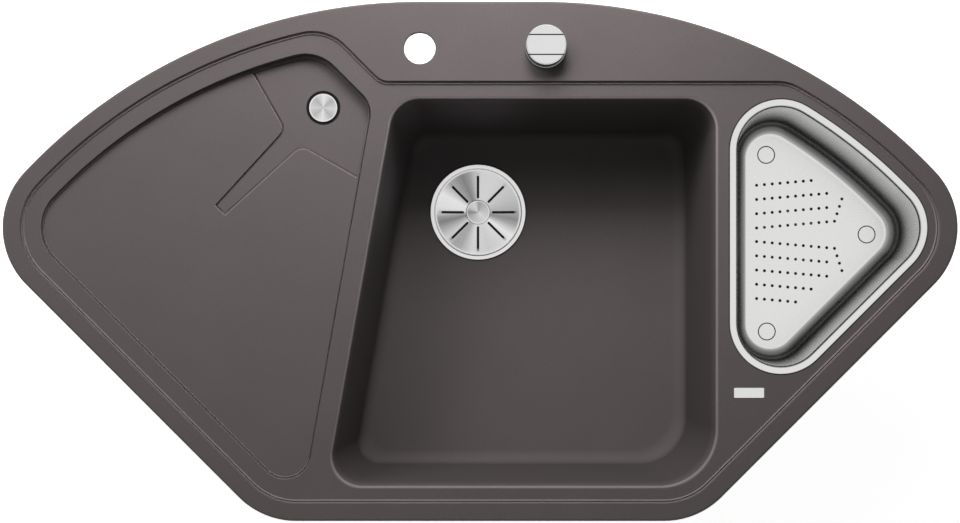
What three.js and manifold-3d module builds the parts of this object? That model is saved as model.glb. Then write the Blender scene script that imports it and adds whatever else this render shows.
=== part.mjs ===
// Corner kitchen sink for setting into a worktop: a moulded granite body with a tap deck, a
// drainer, a main bowl and a small corner bowl that holds a steel colander. A knob on the deck
// lifts the strainer of the main outlet. Units are millimetres, z = 0 is the worktop's surface
// and z points up. Inside the group x = 0 is the middle of the width and y = 0 is the front edge.
import * as THREE from "three";
import { mergeVertices } from "three/addons/utils/BufferGeometryUtils.js";
import Module from "manifold-3d";

const wasm = await Module();
wasm.setup();

const RAD = Math.PI / 180;
const GAP = 0.3; // clearance between pieces that seat on or in each other
const CHORD_ERROR = 0.5; // how far the straight edges of a round outline may stray from it
const PAST = 5; // how far a cutting solid runs past the face that it cuts
const SEEN_SIDES = 24; // sides of round pieces that show from above
const HIDDEN_SIDES = 14; // and of those under the worktop
const PIPE_SIDES = 10;

// ---- Sizes of the moulded body ----
const WIDTH = 1057;
const DEPTH = 575;
const BACK_RADIUS = 600; // the two long curves at the back
const BACK_FLAT = 135; // straight stretch between them
const SIDE_CORNER = 90; // left and right ends
const FRONT_CORNER = 90; // where the slanting sides meet the front
const SIDE_ANGLE = 45; // slant of the sides to the front edge
const RIM_RISE = 8; // the rim stands this high on the worktop
const RIM_EDGE = 3; // rounding of its outer edge
const WALL = 9; // thickness of the moulding
const SEAT_POINT = 11; // from the front edge to the middle of the band that lies on the worktop

// step from the rim down to the inner land
const STEP_INSET = 21.2;
const STEP_WIDTH = 10.5;
const STEP_DROP = 5;
const DECK_FRONT = DEPTH - 89.7; // the tap deck stays at rim level behind this line
const DECK_END = -109.8; // and ends on the left where the step turns to slant
const DECK_CORNER = 50;
const DECK_HOLLOW = 22;
const UNDER_MARGIN = 6; // the moulding under the land is this much wider than it

// drainer
const DRAINER_INSET = 42.5;
const DRAINER_STEP = 7;
const DRAINER_FROM_BOWL = 24;
const DRAINER_FROM_SLANT = 24.2;
const DRAINER_FRONT_CORNER = 28;
const DRAINER_DECK_CORNER = 30;
const DRAINER_BACK_CORNER = 44;
const DRAINER_DROP = 11; // below the land at the overflow
const DRAINER_FALL = 0.0165; // slope of its floor towards the overflow
const DRAINER_FALL_ANGLE = 53; // direction of that slope

// channel that leads to the overflow: an arm and two splayed edges
const CHANNEL_DROP = 2;
const CHANNEL_TIP_DROP = 0.8;
const CHANNEL_ROOT = 47.5; // from the overflow's centre
const CHANNEL_ROOT_HALF = 13.2;
const CHANNEL_TIP = 162;
const CHANNEL_TIP_HALF = 7.8;
const CHANNEL_SPLAY = 15.5;
const CHANNEL_REACH = 170;
const CHANNEL_BEND = 9;
const CHANNEL_TIP_CORNER = 2.5;
const CHANNEL_EDGE = 2; // width of its sloping edge

// main bowl
const MAIN_FRONT = 39;
const MAIN_BACK = DEPTH - 108;
const MAIN_RIGHT = WIDTH / 2 - 267.5;
const MAIN_BACK_LEFT = -94.5; // x of the left edge at the back
const MAIN_SLANT = 10; // lean of the left edge
const MAIN_CORNERS = { frontLeft: 33, frontRight: 63, backRight: 33, backLeft: 33 };
const MAIN_CORNER_SHRINK = 0.35; // corners tighten by this share of the inset
const MAIN_FLOOR = -184; // floor at the outlet
const FLOOR_FALL = 2.5; // the floor's edge is this much higher
const MAIN_DRAFT = 5.3;
const MAIN_FILLET = 17;
const BOWL_EDGE = 4; // rounding of a bowl's upper edge

// corner bowl
const SIDE_FLOOR = -122;
const SIDE_DRAFT = 4;
const SIDE_FILLET = 16;
const SIDE_LEDGE_DROP = 2.2; // the colander's rim lies in this recess
const SIDE_LEDGE = 4.5; // width of the ledge under the rim
const WEB_DEPTH = 30; // solid web between the bowls

// ---- Colander ----
const COLANDER_INSET = 32.9; // from the body's outline
const COLANDER_LEFT = MAIN_RIGHT + 15.3;
const COLANDER_CORNER = 57;
const COLANDER_PROUD = 1.2; // rim above the land
const COLANDER_RIM = 7.75;
const COLANDER_SHEET = 1;
const COLANDER_FLOOR = -87;
const COLANDER_DRAFT = 5;
const COLANDER_FILLET = 11;
const COLANDER_ROUND = 1.6; // bend radius at the rim, outside
const COLANDER_FREE = 0.8; // play between the rim and its recess
const FOOT_RADIUS = 10;
const FOOT_DROP = 3;
const FOOT_SHIFT = 7;
const HOLE_RADIUS = 1.75;
const HOLE_PITCH = 9;
const HOLES_X = COLANDER_LEFT + 41.8;
const HOLES_Y = DEPTH - 252.3;
const ROW_FIRST = 7.8; // from the middle line to the nearest rows
const ROW_PITCH = 16.4;
const ROW_LEAN = 5; // rows spread to the right
const ROW_COUNTS = [11, 10, 10, 8];
const FRONT_ROW_COUNT = 6; // one more row at the front
const END_LEAN = 18.4; // the last holes of the middle rows turn outwards
const END_COUNT = 3;

// ---- Holes in the body and the fittings in them ----
const DECK_HOLE = 17.5;
const TAP = { x: -66.8, y: DEPTH - 51.9 };
const KNOB = { x: 72.5, y: DEPTH - 51.6 };
const OVERFLOW = { x: -174.8, y: DEPTH - 115.7 };
const OUTLET = { x: -3, y: MAIN_BACK - 111 };
const SIDE_OUTLET = { x: COLANDER_LEFT + 83.7, y: DEPTH - 257 };

// pull-out strainer and outlet of the main bowl
const FLANGE_RADIUS = 57;
const FLANGE_THICK = 2.9;
const FLANGE_PROUD = 0.4;
const LIP_WIDTH = 5.4; // raised outer ring of the flange
const SHELF_DROP = 1.6; // shelf under the strainer
const SLEEVE_RADIUS = 45.4;
const SLEEVE_WALL = 1.8;
const SLEEVE_LENGTH = 38;
const OUTLET_PLAY = 1.6; // between the sleeve and the hole in the floor
const SEAL_THICK = 1.3;
const SEAT_DEPTH = 2.8;
const CONE_DEPTH = 15.5; // depth of the cone that the plug's seal closes on
const SEAT_FALL = 3.5;
const SEAT_IN = 2.8;
const STRAINER_SHEET = 1.2;
const STRAINER_DISH = 3.3;
const STRAINER_FLAT = 3; // flat edge of the strainer
const STRAINER_SLOTS = 8;
const SLOT_WIDTH = 2.5;
const SLOT_INNER = 16.6;
const SLOT_OUTER = 46.5;
const BUTTON_RADIUS = 14.5;
const BUTTON_STEM = 6;
const PLUG_PLATE = 2.8;
const PLUG_HUB = 8;
const NUT_HEIGHT = 12;
const NUT_REACH = 17; // of the outlet's nut, beyond the sleeve
const NUT_LOBE = 2;

// waste body, lift pin and lever
const WASTE_WALL = 3;
const WASTE_DEPTH = 40; // of its cup, below the sleeve
const PIN_RADIUS = 3;
const PIN_LENGTH = 41;
const LEVER_ARM = 17;
const LEVER_SLACK = 1.5; // between its tip and the lift pin at rest
const LEVER_SWING = 31; // degrees from closed to open
const LEVER_HUB = 5;
const AXLE_RADIUS = 3;
const CRANK_ARM = 20;
const CRANK_TURN = 75; // from the lever's arm to the crank
const CRANK_OFFSET = 57.5;
const TAIL_ARM = 12; // the lever's tail balances its arm
const BRACKET_REACH = 36; // from the axle to the bracket that holds the cable
const PLATE = 4; // thickness of arms and brackets
const GLAND_RADIUS = 4.5;
const GLAND_LENGTH = 16;
const CABLE_BORE = 1.5;

// pipes
const PIPE_RADIUS = 20;
const PIPE_WALL = 2;
const PIPE_Z = -241;
const PIPE_BEND = 38;
const BEND_STEPS = 3;
const SPOUT_REACH = 68; // from an outlet's axis to the mouth of its spout
const SOCKET_WALL = 3.6;
const SOCKET_LENGTH = 18;
const RUN_Y = MAIN_BACK + 7; // the pipes run along the back on this line
const TEE_X = 150;
const TEE_HALF = 52;
const TEE_DROP = 57;
const OVERFLOW_PIPE = 12.5;
const OVERFLOW_WALL = 1.8;
const OVERFLOW_BEND = 45;
const OVERFLOW_PIPE_Z = -236;
const UNION_GRIP = 10; // length of a union nut over its socket
const UNION_NOSE = 6; // and beyond it
const UNION_WALL = 4.5;

// overflow
const OVERFLOW_HOLE = 19;
const OVERFLOW_DEPTH = 10;
const OVERFLOW_BORE = 13;
const OVERFLOW_BOSS = 26;
const OVERFLOW_BOSS_Z = -28;
const COVER_RADIUS = 15.75;
const COVER_THICK = 1.6;
const COVER_STEM = 2.6;

// corner bowl's outlet
const SIDE_FLANGE = 35;
const SIDE_SLEEVE = 24.5;
const SIDE_SEAT = 2.8;
const SIDE_SLEEVE_LENGTH = 30;
const CUP_DEPTH = 17;
const CUP_KNOB = 6;

// knob that works the lift pin
const ROSETTE_RADIUS = 23;
const ROSETTE_HEIGHT = 4.5;
const TAIL_RADIUS = 16.8;
const TAIL_END = -29.7;
const KNOB_RADIUS = 22;
const KNOB_TOP = 32;
const KNOB_BEVEL = 1.2;
const KNOB_GROOVE = 10.9; // from the middle to a groove
const KNOB_GROOVE_WIDTH = 1.3;
const KNOB_GROOVE_DEPTH = 4;
const SHAFT_RADIUS = 6;
const CASE_RADIUS = 26;
const CASE_WALL = 2.8;
const CASE_TOP = -30;
const CASE_BOTTOM = -58;
const DRUM_RADIUS = 20;
const DRUM_GROOVE = 3;
const COLLAR_TOP = -16;

// clamps under the rim
const CLAMP_WIDTH = 16;
const CLAMP_SHEET = 2.5;
const CLAMP_IN = 14.4; // its upright, from the body's outline
const CLAMP_BOTTOM = -54;
const CLAMP_TONGUE_Z = -14.7;
const CLAMP_TONGUE = 8;
const CLAMP_NOSE = 1.5;
const FRONT_CLAMPS = 150; // from the middle of the width
const BACK_CLAMPS = 0.75; // share of a back curve from its middle end to its clamp
const LUG_WIDTH = 30;
const LUG_DEPTH = 11;
const LUG_BOTTOM = -22;
const SCREW_RADIUS = 3;
const SCREW_IN = 5.5;
const SCREW_TIP = -38.5;
const SCREW_HEAD = 6;
const SCREW_SIDES = 6;

const TOP = RIM_RISE;
const LAND = TOP - STEP_DROP;
const LAND_UNDER = LAND - WALL;

// ---- Materials ----
const finish = (color, roughness, metalness) =>
  new THREE.MeshStandardMaterial({ color, roughness, metalness });
const granite = finish(0x746e6e, 0.75, 0);
const steel = finish(0xc9c9c8, 0.3, 1);
const satin = finish(0xd9dada, 0.35, 0.9);
const blackPlastic = finish(0x1c1c1d, 0.55, 0);
const greyPlastic = finish(0xc4c6c6, 0.5, 0);
const rubber = finish(0x202020, 0.85, 0);
const zinc = finish(0xa3a6a8, 0.45, 1);

// ---- Solids ----
function solid(geometry) {
  const bare = new THREE.BufferGeometry();
  bare.setAttribute("position", geometry.getAttribute("position"));
  bare.setIndex(geometry.index);
  const merged = mergeVertices(bare, 1e-4);
  const mesh = new wasm.Mesh({
    numProp: 3,
    vertProperties: merged.getAttribute("position").array,
    triVerts: new Uint32Array(merged.index.array),
  });
  return new wasm.Manifold(mesh);
}

function geometryOf(manifold) {
  const mesh = manifold.getMesh();
  const geometry = new THREE.BufferGeometry();
  geometry.setAttribute("position", new THREE.BufferAttribute(mesh.vertProperties, 3));
  geometry.setIndex(new THREE.BufferAttribute(mesh.triVerts, 1));
  return geometry;
}

const joined = (first, ...rest) => rest.reduce((whole, part) => whole.add(part), first);
const cut = (first, ...rest) => rest.reduce((whole, part) => whole.subtract(part), first);

// A box between two corners.
function block(low, high) {
  const size = high.map((value, i) => value - low[i]);
  const box = new THREE.BoxGeometry(...size);
  box.translate(...low.map((value, i) => value + size[i] / 2));
  return solid(box);
}

// An upright solid of revolution about (x, y): its profile is a closed run of [radius, z].
function revolved(profile, at = { x: 0, y: 0 }, sides = HIDDEN_SIDES) {
  const turn = profile.reduce((sum, [r, z], i) => {
    const [nextR, nextZ] = profile[(i + 1) % profile.length];
    return sum + r * nextZ - nextR * z;
  }, 0);
  const ordered = turn > 0 ? profile : [...profile].reverse();
  const start = ordered.findIndex(([r], i) => r === 0 && ordered.at(i - 1)[0] === 0);
  const run = start < 0 ? [...ordered, ordered[0]] : rotated(ordered, start);
  const points = run.map(([r, z]) => new THREE.Vector2(r, z));
  const geometry = new THREE.LatheGeometry(points, sides);
  geometry.rotateX(90 * RAD);
  geometry.translate(at.x, at.y, 0);
  return solid(geometry);
}

const rotated = (list, start) => [...list.slice(start), ...list.slice(0, start)];

// Corner radius of a many-sided bore whose flats clear a round of radius r.
const clear = (r, sides = HIDDEN_SIDES) => (r + GAP) / Math.cos(Math.PI / sides);

// An upright cylinder about (x, y).
const post = (at, radius, low, high, sides) =>
  revolved([[0, low], [radius, low], [radius, high], [0, high]], at, sides);

// The same solid laid along a direction in the xy plane, from `at` at height z.
function laid(manifold, at, z, angle) {
  return manifold.rotate([0, 90, 0]).rotate([0, 0, angle]).translate([at.x, at.y, z]);
}

// ---- Outlines ----
// An outline is a belt round circles { x, y, r }, run anticlockwise. Where r is negative the
// belt passes the circle on its other side, which makes a hollow corner. Taking the same amount
// off every r moves the whole belt inwards by that amount.
const directionOut = (angle) => ({ x: Math.sin(angle), y: -Math.cos(angle) });

function beltAngle(a, b) {
  const dx = b.x - a.x;
  const dy = b.y - a.y;
  const lean = Math.min(1, Math.max(-1, (a.r - b.r) / Math.hypot(dx, dy)));
  return Math.atan2(dy, dx) + Math.asin(lean);
}

function belt(circles, inset = 0) {
  return circles.flatMap((circle, i) => {
    const before = beltAngle(circles.at(i - 1), circle);
    const after = beltAngle(circle, circles[(i + 1) % circles.length]);
    const way = Math.sign(circle.r);
    const sweep = THREE.MathUtils.euclideanModulo(way * (after - before), 2 * Math.PI) * way;
    const size = circle.size ?? Math.abs(circle.r);
    const steps = Math.ceil(Math.abs(sweep) / (2 * Math.acos(1 - CHORD_ERROR / size)));
    return Array.from({ length: steps + 1 }, (_, k) => {
      const out = directionOut(before + (sweep * k) / steps);
      return new THREE.Vector2(
        circle.x + (circle.r - inset) * out.x,
        circle.y + (circle.r - inset) * out.y,
      );
    });
  });
}

// A directed line with the outline's inside on its left.
function line(x, y, degrees, inset = 0) {
  const along = { x: Math.cos(degrees * RAD), y: Math.sin(degrees * RAD) };
  const inward = { x: -along.y, y: along.x };
  return { along, inward, offset: inward.x * x + inward.y * y + inset };
}

// The line that a belt follows where it leaves a circle in a given direction.
function lineFrom(circle, degrees) {
  const out = directionOut(degrees * RAD);
  return line(circle.x + circle.r * out.x, circle.y + circle.r * out.y, degrees);
}

const shifted = (a, inset) => ({ ...a, offset: a.offset + inset });
const shrunk = (circle, inset) => ({ ...circle, r: circle.r - inset });

// The circle of radius r that rounds the corner between two lines.
function betweenLines(a, b, r, size = Math.abs(r)) {
  const det = a.inward.x * b.inward.y - a.inward.y * b.inward.x;
  const ca = a.offset + r;
  const cb = b.offset + r;
  return {
    x: (ca * b.inward.y - cb * a.inward.y) / det,
    y: (a.inward.x * cb - b.inward.x * ca) / det,
    r,
    size,
  };
}

// The circle of radius r that rounds the corner between a large circle, from inside, and a
// line: way is 1 at the line's far end and -1 at its start.
function inCircle(large, a, r, way) {
  const across = a.offset + r - (a.inward.x * large.x + a.inward.y * large.y);
  const along = way * Math.sqrt((large.r - r) ** 2 - across ** 2);
  return {
    x: large.x + a.inward.x * across + a.along.x * along,
    y: large.y + a.inward.y * across + a.along.y * along,
    r,
  };
}

// A closed ring of points on an outline, at one height or at a height that varies.
const ring = (circles, inset, z) =>
  belt(circles, inset).map((p) =>
    new THREE.Vector3(p.x, p.y, typeof z === "function" ? z(p.x, p.y) : z));

// A solid through rings of equal counts. The first ring's cap looks down and the last one's
// looks up, so a shell's rings run up its outside, over its edge and down its inside.
function loft(rings) {
  const count = rings[0].length;
  const index = [];
  for (let r = 0; r + 1 < rings.length; r++) {
    for (let k = 0; k < count; k++) {
      const a = r * count + k;
      const b = r * count + ((k + 1) % count);
      index.push(a, b, b + count, a, b + count, a + count);
    }
  }
  const last = (rings.length - 1) * count;
  const cap = (points) => THREE.ShapeUtils.triangulateShape(points, []);
  for (const [a, b, c] of cap(rings[0])) index.push(a, c, b);
  for (const [a, b, c] of cap(rings.at(-1))) index.push(last + a, last + b, last + c);
  const geometry = new THREE.BufferGeometry().setFromPoints(rings.flat());
  geometry.setIndex(index);
  return solid(geometry);
}

// An upright prism on an outline.
const prism = (circles, inset, low, high) =>
  loft([ring(circles, inset, low), ring(circles, inset, high)]);

// Half a cosine wave, from 1 at t = 0 to 0 at t = 1.
const wave = (t) => (1 + Math.cos(Math.PI * t)) / 2;
const shares = (steps) => Array.from({ length: steps + 1 }, (_, k) => k / steps);

// A bowl's section from its floor up to its edge, as [inset, z].
function bowlSection({ top, floor, draft, fillet, inset = 0, steps = 3 }) {
  const slope = Math.tan(draft * RAD);
  const centreZ = floor + fillet;
  const meet = centreZ - fillet * Math.sin(draft * RAD);
  const centreIn = inset + (top - meet) * slope + fillet * Math.cos(draft * RAD);
  const bend = shares(steps).map((t) => {
    const angle = (90 - (90 - draft) * t) * RAD;
    return [centreIn - fillet * Math.cos(angle), centreZ - fillet * Math.sin(angle)];
  });
  return [...bend, [inset, top]];
}

// The rounded upper edge of a bowl, from its wall out to its face.
const roundedEdge = (inset, top, radius) =>
  shares(2).slice(1).map((t) => [
    inset - radius * (1 - Math.cos(t * 90 * RAD)),
    top - radius * (1 - Math.sin(t * 90 * RAD)),
  ]);

// ---- Outlines of the body ----
const sideX = WIDTH / 2 - SIDE_CORNER;
const arcX = BACK_FLAT / 2;
const arcY = DEPTH - BACK_RADIUS;
const sideY = arcY + Math.sqrt((BACK_RADIUS - SIDE_CORNER) ** 2 - (sideX - arcX) ** 2);
const sine = Math.sin(SIDE_ANGLE * RAD);
const cosine = Math.cos(SIDE_ANGLE * RAD);
const frontX = sideX + (SIDE_CORNER - FRONT_CORNER - (sideY - FRONT_CORNER) * cosine) / sine;
const mirrored = (circle) => ({ ...circle, x: -circle.x });

const backRight = { x: arcX, y: arcY, r: BACK_RADIUS };
const sideRight = { x: sideX, y: sideY, r: SIDE_CORNER };
const frontRight = { x: frontX, y: FRONT_CORNER, r: FRONT_CORNER };
const backLeft = mirrored(backRight);
const sideLeft = mirrored(sideRight);
const frontLeft = mirrored(frontRight);
const outline = [frontRight, sideRight, backRight, backLeft, sideLeft, frontLeft];

const deckLine = line(DECK_END, DECK_FRONT, 180);
const slantLine = line(DECK_END, DECK_FRONT, 180 - SIDE_ANGLE);
const inStep = (circle) => shrunk(circle, STEP_INSET);
const land = [
  inStep(frontRight),
  inStep(sideRight),
  inStep(backRight),
  inCircle(inStep(backRight), deckLine, DECK_CORNER, -1),
  betweenLines(deckLine, slantLine, -DECK_HOLLOW),
  inCircle(inStep(backLeft), slantLine, DECK_CORNER, 1),
  inStep(backLeft),
  inStep(sideLeft),
  inStep(frontLeft),
];

const mainLines = {
  front: line(0, MAIN_FRONT, 0),
  right: line(MAIN_RIGHT, 0, 90),
  back: line(0, MAIN_BACK, 180),
  left: line(MAIN_BACK_LEFT, MAIN_BACK, 270 - MAIN_SLANT),
};

// The main bowl's outline at an inset: its corners tighten as it narrows.
function mainCircles(inset) {
  const at = (name) => shifted(mainLines[name], inset);
  const corner = (a, b, size) =>
    betweenLines(at(a), at(b), size - inset * MAIN_CORNER_SHRINK, size);
  return [
    corner("front", "right", MAIN_CORNERS.frontRight),
    corner("right", "back", MAIN_CORNERS.backRight),
    corner("back", "left", MAIN_CORNERS.backLeft),
    corner("left", "front", MAIN_CORNERS.frontLeft),
  ];
}

const drainerRight = line(
  MAIN_BACK_LEFT - DRAINER_FROM_BOWL / Math.cos(MAIN_SLANT * RAD), MAIN_BACK, 90 - MAIN_SLANT);
const drainerSlant = shifted(slantLine, DRAINER_FROM_SLANT);
const inDrainer = (circle) => shrunk(circle, DRAINER_INSET);
const drainerFront = lineFrom(inDrainer(sideLeft), -SIDE_ANGLE);
const drainer = [
  betweenLines(drainerFront, drainerRight, DRAINER_FRONT_CORNER),
  betweenLines(drainerRight, drainerSlant, DRAINER_DECK_CORNER),
  inCircle(inDrainer(backLeft), drainerSlant, DRAINER_BACK_CORNER, 1),
  inDrainer(backLeft),
  inDrainer(sideLeft),
];

const colanderLeft = line(COLANDER_LEFT, 0, 270);
const inColander = (circle) => shrunk(circle, COLANDER_INSET);
const colanderFront = lineFrom(inColander(sideRight), SIDE_ANGLE);
const colanderOutline = [
  betweenLines(colanderLeft, colanderFront, COLANDER_CORNER),
  inColander(sideRight),
  inColander(backRight),
  inCircle(inColander(backRight), colanderLeft, COLANDER_CORNER, -1),
];

const drainerFloor = (x, y) =>
  LAND - DRAINER_DROP + DRAINER_FALL * (
    (OVERFLOW.x - x) * Math.cos(DRAINER_FALL_ANGLE * RAD) +
    (OVERFLOW.y - y) * Math.sin(DRAINER_FALL_ANGLE * RAD));

// ---- The moulded body ----
function rimPlate() {
  const corner = shares(2).map((t) => [
    RIM_EDGE * (1 - Math.cos(t * 90 * RAD)),
    TOP - RIM_EDGE * (1 - Math.sin(t * 90 * RAD)),
  ]);
  return loft([[0, 0], ...corner].map(([inset, z]) => ring(outline, inset, z)));
}

function landRecess() {
  const rings = shares(4).map((t) =>
    ring(land, STEP_WIDTH * (0.5 - t), LAND + STEP_DROP * (1 - wave(t))));
  return loft([...rings, ring(land, -STEP_WIDTH / 2, TOP + PAST)]);
}

const landUnderside = () => prism(land, -UNDER_MARGIN, LAND_UNDER, LAND - STEP_DROP / 2);

function drainerRecess() {
  const rings = shares(4).map((t) =>
    ring(drainer, DRAINER_STEP * (0.5 - t), (x, y) => {
      const floor = drainerFloor(x, y);
      return floor + (LAND - floor) * (1 - wave(t));
    }));
  return loft([...rings, ring(drainer, -DRAINER_STEP / 2, LAND + PAST)]);
}

function drainerUnderside() {
  const under = (x, y) => drainerFloor(x, y) - WALL;
  return loft([ring(drainer, -WALL, under), ring(drainer, -WALL, LAND_UNDER + WALL / 3)]);
}

// The channel's outline in a frame with u from the overflow along the arm and v to its side.
function channelCircles() {
  const along = (225) * RAD;
  const place = (u, v) => ({
    x: OVERFLOW.x + u * Math.cos(along) - v * Math.sin(along),
    y: OVERFLOW.y + u * Math.sin(along) + v * Math.cos(along),
  });
  const splayed = CHANNEL_ROOT - (CHANNEL_REACH - CHANNEL_ROOT_HALF) * Math.tan(CHANNEL_SPLAY * RAD);
  const points = [
    [-CHANNEL_REACH, CHANNEL_REACH, CHANNEL_TIP_CORNER],
    [-CHANNEL_REACH, -CHANNEL_REACH, CHANNEL_TIP_CORNER],
    [splayed, -CHANNEL_REACH, CHANNEL_TIP_CORNER],
    [CHANNEL_ROOT, -CHANNEL_ROOT_HALF, -CHANNEL_BEND],
    [CHANNEL_TIP, -CHANNEL_TIP_HALF, CHANNEL_TIP_CORNER],
    [CHANNEL_TIP, CHANNEL_TIP_HALF, CHANNEL_TIP_CORNER],
    [CHANNEL_ROOT, CHANNEL_ROOT_HALF, -CHANNEL_BEND],
    [splayed, CHANNEL_REACH, CHANNEL_TIP_CORNER],
  ];
  const sides = points.map(([u, v], i) => {
    const from = place(u, v);
    const to = place(...points[(i + 1) % points.length]);
    return line(from.x, from.y, Math.atan2(to.y - from.y, to.x - from.x) / RAD);
  });
  return points.map(([, , r], i) => betweenLines(sides.at(i - 1), sides[i], r));
}

function channelRecess() {
  const circles = channelCircles();
  const bed = (x, y) => {
    const u = -((x - OVERFLOW.x) + (y - OVERFLOW.y)) * Math.SQRT1_2;
    const drop = CHANNEL_DROP + ((CHANNEL_TIP_DROP - CHANNEL_DROP) * u) / CHANNEL_TIP;
    return drainerFloor(x, y) - drop;
  };
  const groove = loft([
    ring(circles, CHANNEL_EDGE / 2, bed),
    ring(circles, -CHANNEL_EDGE / 2, drainerFloor),
    ring(circles, -CHANNEL_EDGE / 2, LAND),
  ]);
  return groove.intersect(prism(drainer, DRAINER_STEP / 2, LAND_UNDER - 2 * WALL, LAND + PAST));
}

// Ring of a floor round its outlet, with a point for each point of the floor's edge.
const outletRing = (edge, centre, radius, z) =>
  edge.map((p) => {
    const angle = Math.atan2(p.y - centre.y, p.x - centre.x);
    return new THREE.Vector3(
      centre.x + radius * Math.cos(angle), centre.y + radius * Math.sin(angle), z);
  });

function mainCavity() {
  const section = [
    ...bowlSection({
      top: LAND - BOWL_EDGE,
      floor: MAIN_FLOOR + FLOOR_FALL,
      draft: MAIN_DRAFT,
      fillet: MAIN_FILLET,
    }),
    ...roundedEdge(0, LAND, BOWL_EDGE),
    [-BOWL_EDGE, LAND + PAST],
  ];
  const rings = section.map(([inset, z]) => ring(mainCircles(inset), 0, z));
  return loft([outletRing(rings[0], OUTLET, FLANGE_RADIUS + PAST, MAIN_FLOOR), ...rings]);
}

function mainOutside() {
  const top = LAND_UNDER + WALL / 3;
  const lean = (LAND - BOWL_EDGE - top) * Math.tan(MAIN_DRAFT * RAD);
  const section = bowlSection({
    top,
    floor: MAIN_FLOOR - WALL,
    draft: MAIN_DRAFT,
    fillet: MAIN_FILLET + WALL,
    inset: lean - WALL,
    steps: 2,
  });
  return loft(section.map(([inset, z]) => ring(mainCircles(inset), 0, z)));
}

const ledgeZ = LAND - SIDE_LEDGE_DROP;

function sideCavity() {
  const section = [
    ...bowlSection({
      top: ledgeZ,
      floor: SIDE_FLOOR + FLOOR_FALL,
      draft: SIDE_DRAFT,
      fillet: SIDE_FILLET,
      inset: SIDE_LEDGE,
      steps: 2,
    }),
    [SIDE_LEDGE, ledgeZ + PAST],
  ];
  const rings = section.map(([inset, z]) => ring(colanderOutline, inset, z));
  return loft([outletRing(rings[0], SIDE_OUTLET, SIDE_FLANGE + PAST, SIDE_FLOOR), ...rings]);
}

function sideOutside() {
  const top = LAND_UNDER + WALL / 3;
  const section = bowlSection({
    top,
    floor: SIDE_FLOOR - WALL,
    draft: SIDE_DRAFT,
    fillet: SIDE_FILLET + WALL / 2,
    inset: SIDE_LEDGE - WALL,
    steps: 2,
  });
  return loft(section.map(([inset, z]) => ring(colanderOutline, inset, z)));
}

const ledgeRecess = () => prism(colanderOutline, -COLANDER_FREE, ledgeZ, LAND + PAST);

function bowlWeb() {
  const left = MAIN_RIGHT;
  const right = COLANDER_LEFT + SIDE_LEDGE;
  const low = LAND_UNDER - WEB_DEPTH;
  const back = colanderOutline[3].y;
  const front = colanderOutline[0].y;
  return block([left, front, low], [right, back, LAND_UNDER + WALL / 3]);
}

// Where the clamps sit: a point on the outline and the direction that looks out there.
const onBack = (circle, degrees) => ({
  x: circle.x + circle.r * Math.cos(degrees * RAD),
  y: circle.y + circle.r * Math.sin(degrees * RAD),
  out: degrees,
});
const slantMiddle = (way) => ({
  x: (way * (frontX + sideX)) / 2 + (way * FRONT_CORNER * sine + way * SIDE_CORNER * sine) / 2,
  y: (FRONT_CORNER + sideY) / 2 - ((FRONT_CORNER + SIDE_CORNER) * cosine) / 2,
  out: way > 0 ? -SIDE_ANGLE : SIDE_ANGLE - 180,
});
const backReach = 90 - Math.atan2(sideY - arcY, sideX - arcX) / RAD;
const clampPlaces = {
  front_left: { x: -FRONT_CLAMPS, y: 0, out: -90 },
  front_right: { x: FRONT_CLAMPS, y: 0, out: -90 },
  side_left: slantMiddle(-1),
  side_right: slantMiddle(1),
  back_left: onBack(backLeft, 90 + BACK_CLAMPS * backReach),
  back_right: onBack(backRight, 90 - BACK_CLAMPS * backReach),
};

// Lug that a clamp's tongue hooks into: its outer face is level with the clamp's upright.
const lugFace = -(CLAMP_IN + CLAMP_SHEET + GAP);

function lugs() {
  const body = block(
    [lugFace - LUG_DEPTH, -LUG_WIDTH / 2, LUG_BOTTOM],
    [lugFace, LUG_WIDTH / 2, LAND_UNDER + WALL / 3]);
  const pocket = block(
    [lugFace - CLAMP_TONGUE - GAP, -CLAMP_WIDTH / 2 - GAP, CLAMP_TONGUE_Z - GAP],
    [lugFace + PAST, CLAMP_WIDTH / 2 + GAP, CLAMP_TONGUE_Z + CLAMP_SHEET + GAP]);
  const lug = body.subtract(pocket);
  return Object.values(clampPlaces).map(({ x, y, out }) =>
    lug.rotate([0, 0, out]).translate([x, y, 0]));
}

function sinkBody() {
  const mass = joined(
    rimPlate(),
    landUnderside(),
    drainerUnderside(),
    mainOutside(),
    sideOutside(),
    bowlWeb(),
    post(OVERFLOW, OVERFLOW_BOSS, OVERFLOW_BOSS_Z, LAND_UNDER - WALL),
  );
  const hollowed = cut(
    mass,
    landRecess(),
    drainerRecess(),
    channelRecess(),
    mainCavity(),
    ledgeRecess(),
    sideCavity(),
    post(TAP, DECK_HOLE, -PAST, TOP + PAST, SEEN_SIDES),
    post(KNOB, DECK_HOLE, -PAST, TOP + PAST, SEEN_SIDES),
    post(OVERFLOW, OVERFLOW_HOLE, overflowFloor - OVERFLOW_DEPTH, LAND, SEEN_SIDES),
    post(OVERFLOW, OVERFLOW_BORE, OVERFLOW_BOSS_Z - PAST, LAND, SEEN_SIDES),
    post(OUTLET, FLANGE_RADIUS + OUTLET_PLAY, MAIN_FLOOR - SEAT_DEPTH, MAIN_FLOOR + PAST, SEEN_SIDES),
    post(OUTLET, SLEEVE_RADIUS + OUTLET_PLAY, MAIN_FLOOR - 3 * WALL, MAIN_FLOOR, SEEN_SIDES),
    post(SIDE_OUTLET, SIDE_FLANGE + OUTLET_PLAY, SIDE_FLOOR - SIDE_SEAT, SIDE_FLOOR + PAST),
    post(SIDE_OUTLET, SIDE_SLEEVE + OUTLET_PLAY, SIDE_FLOOR - 3 * WALL, SIDE_FLOOR),
  );
  return joined(hollowed, ...lugs());
}

const overflowFloor = LAND - DRAINER_DROP - CHANNEL_DROP;

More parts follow.
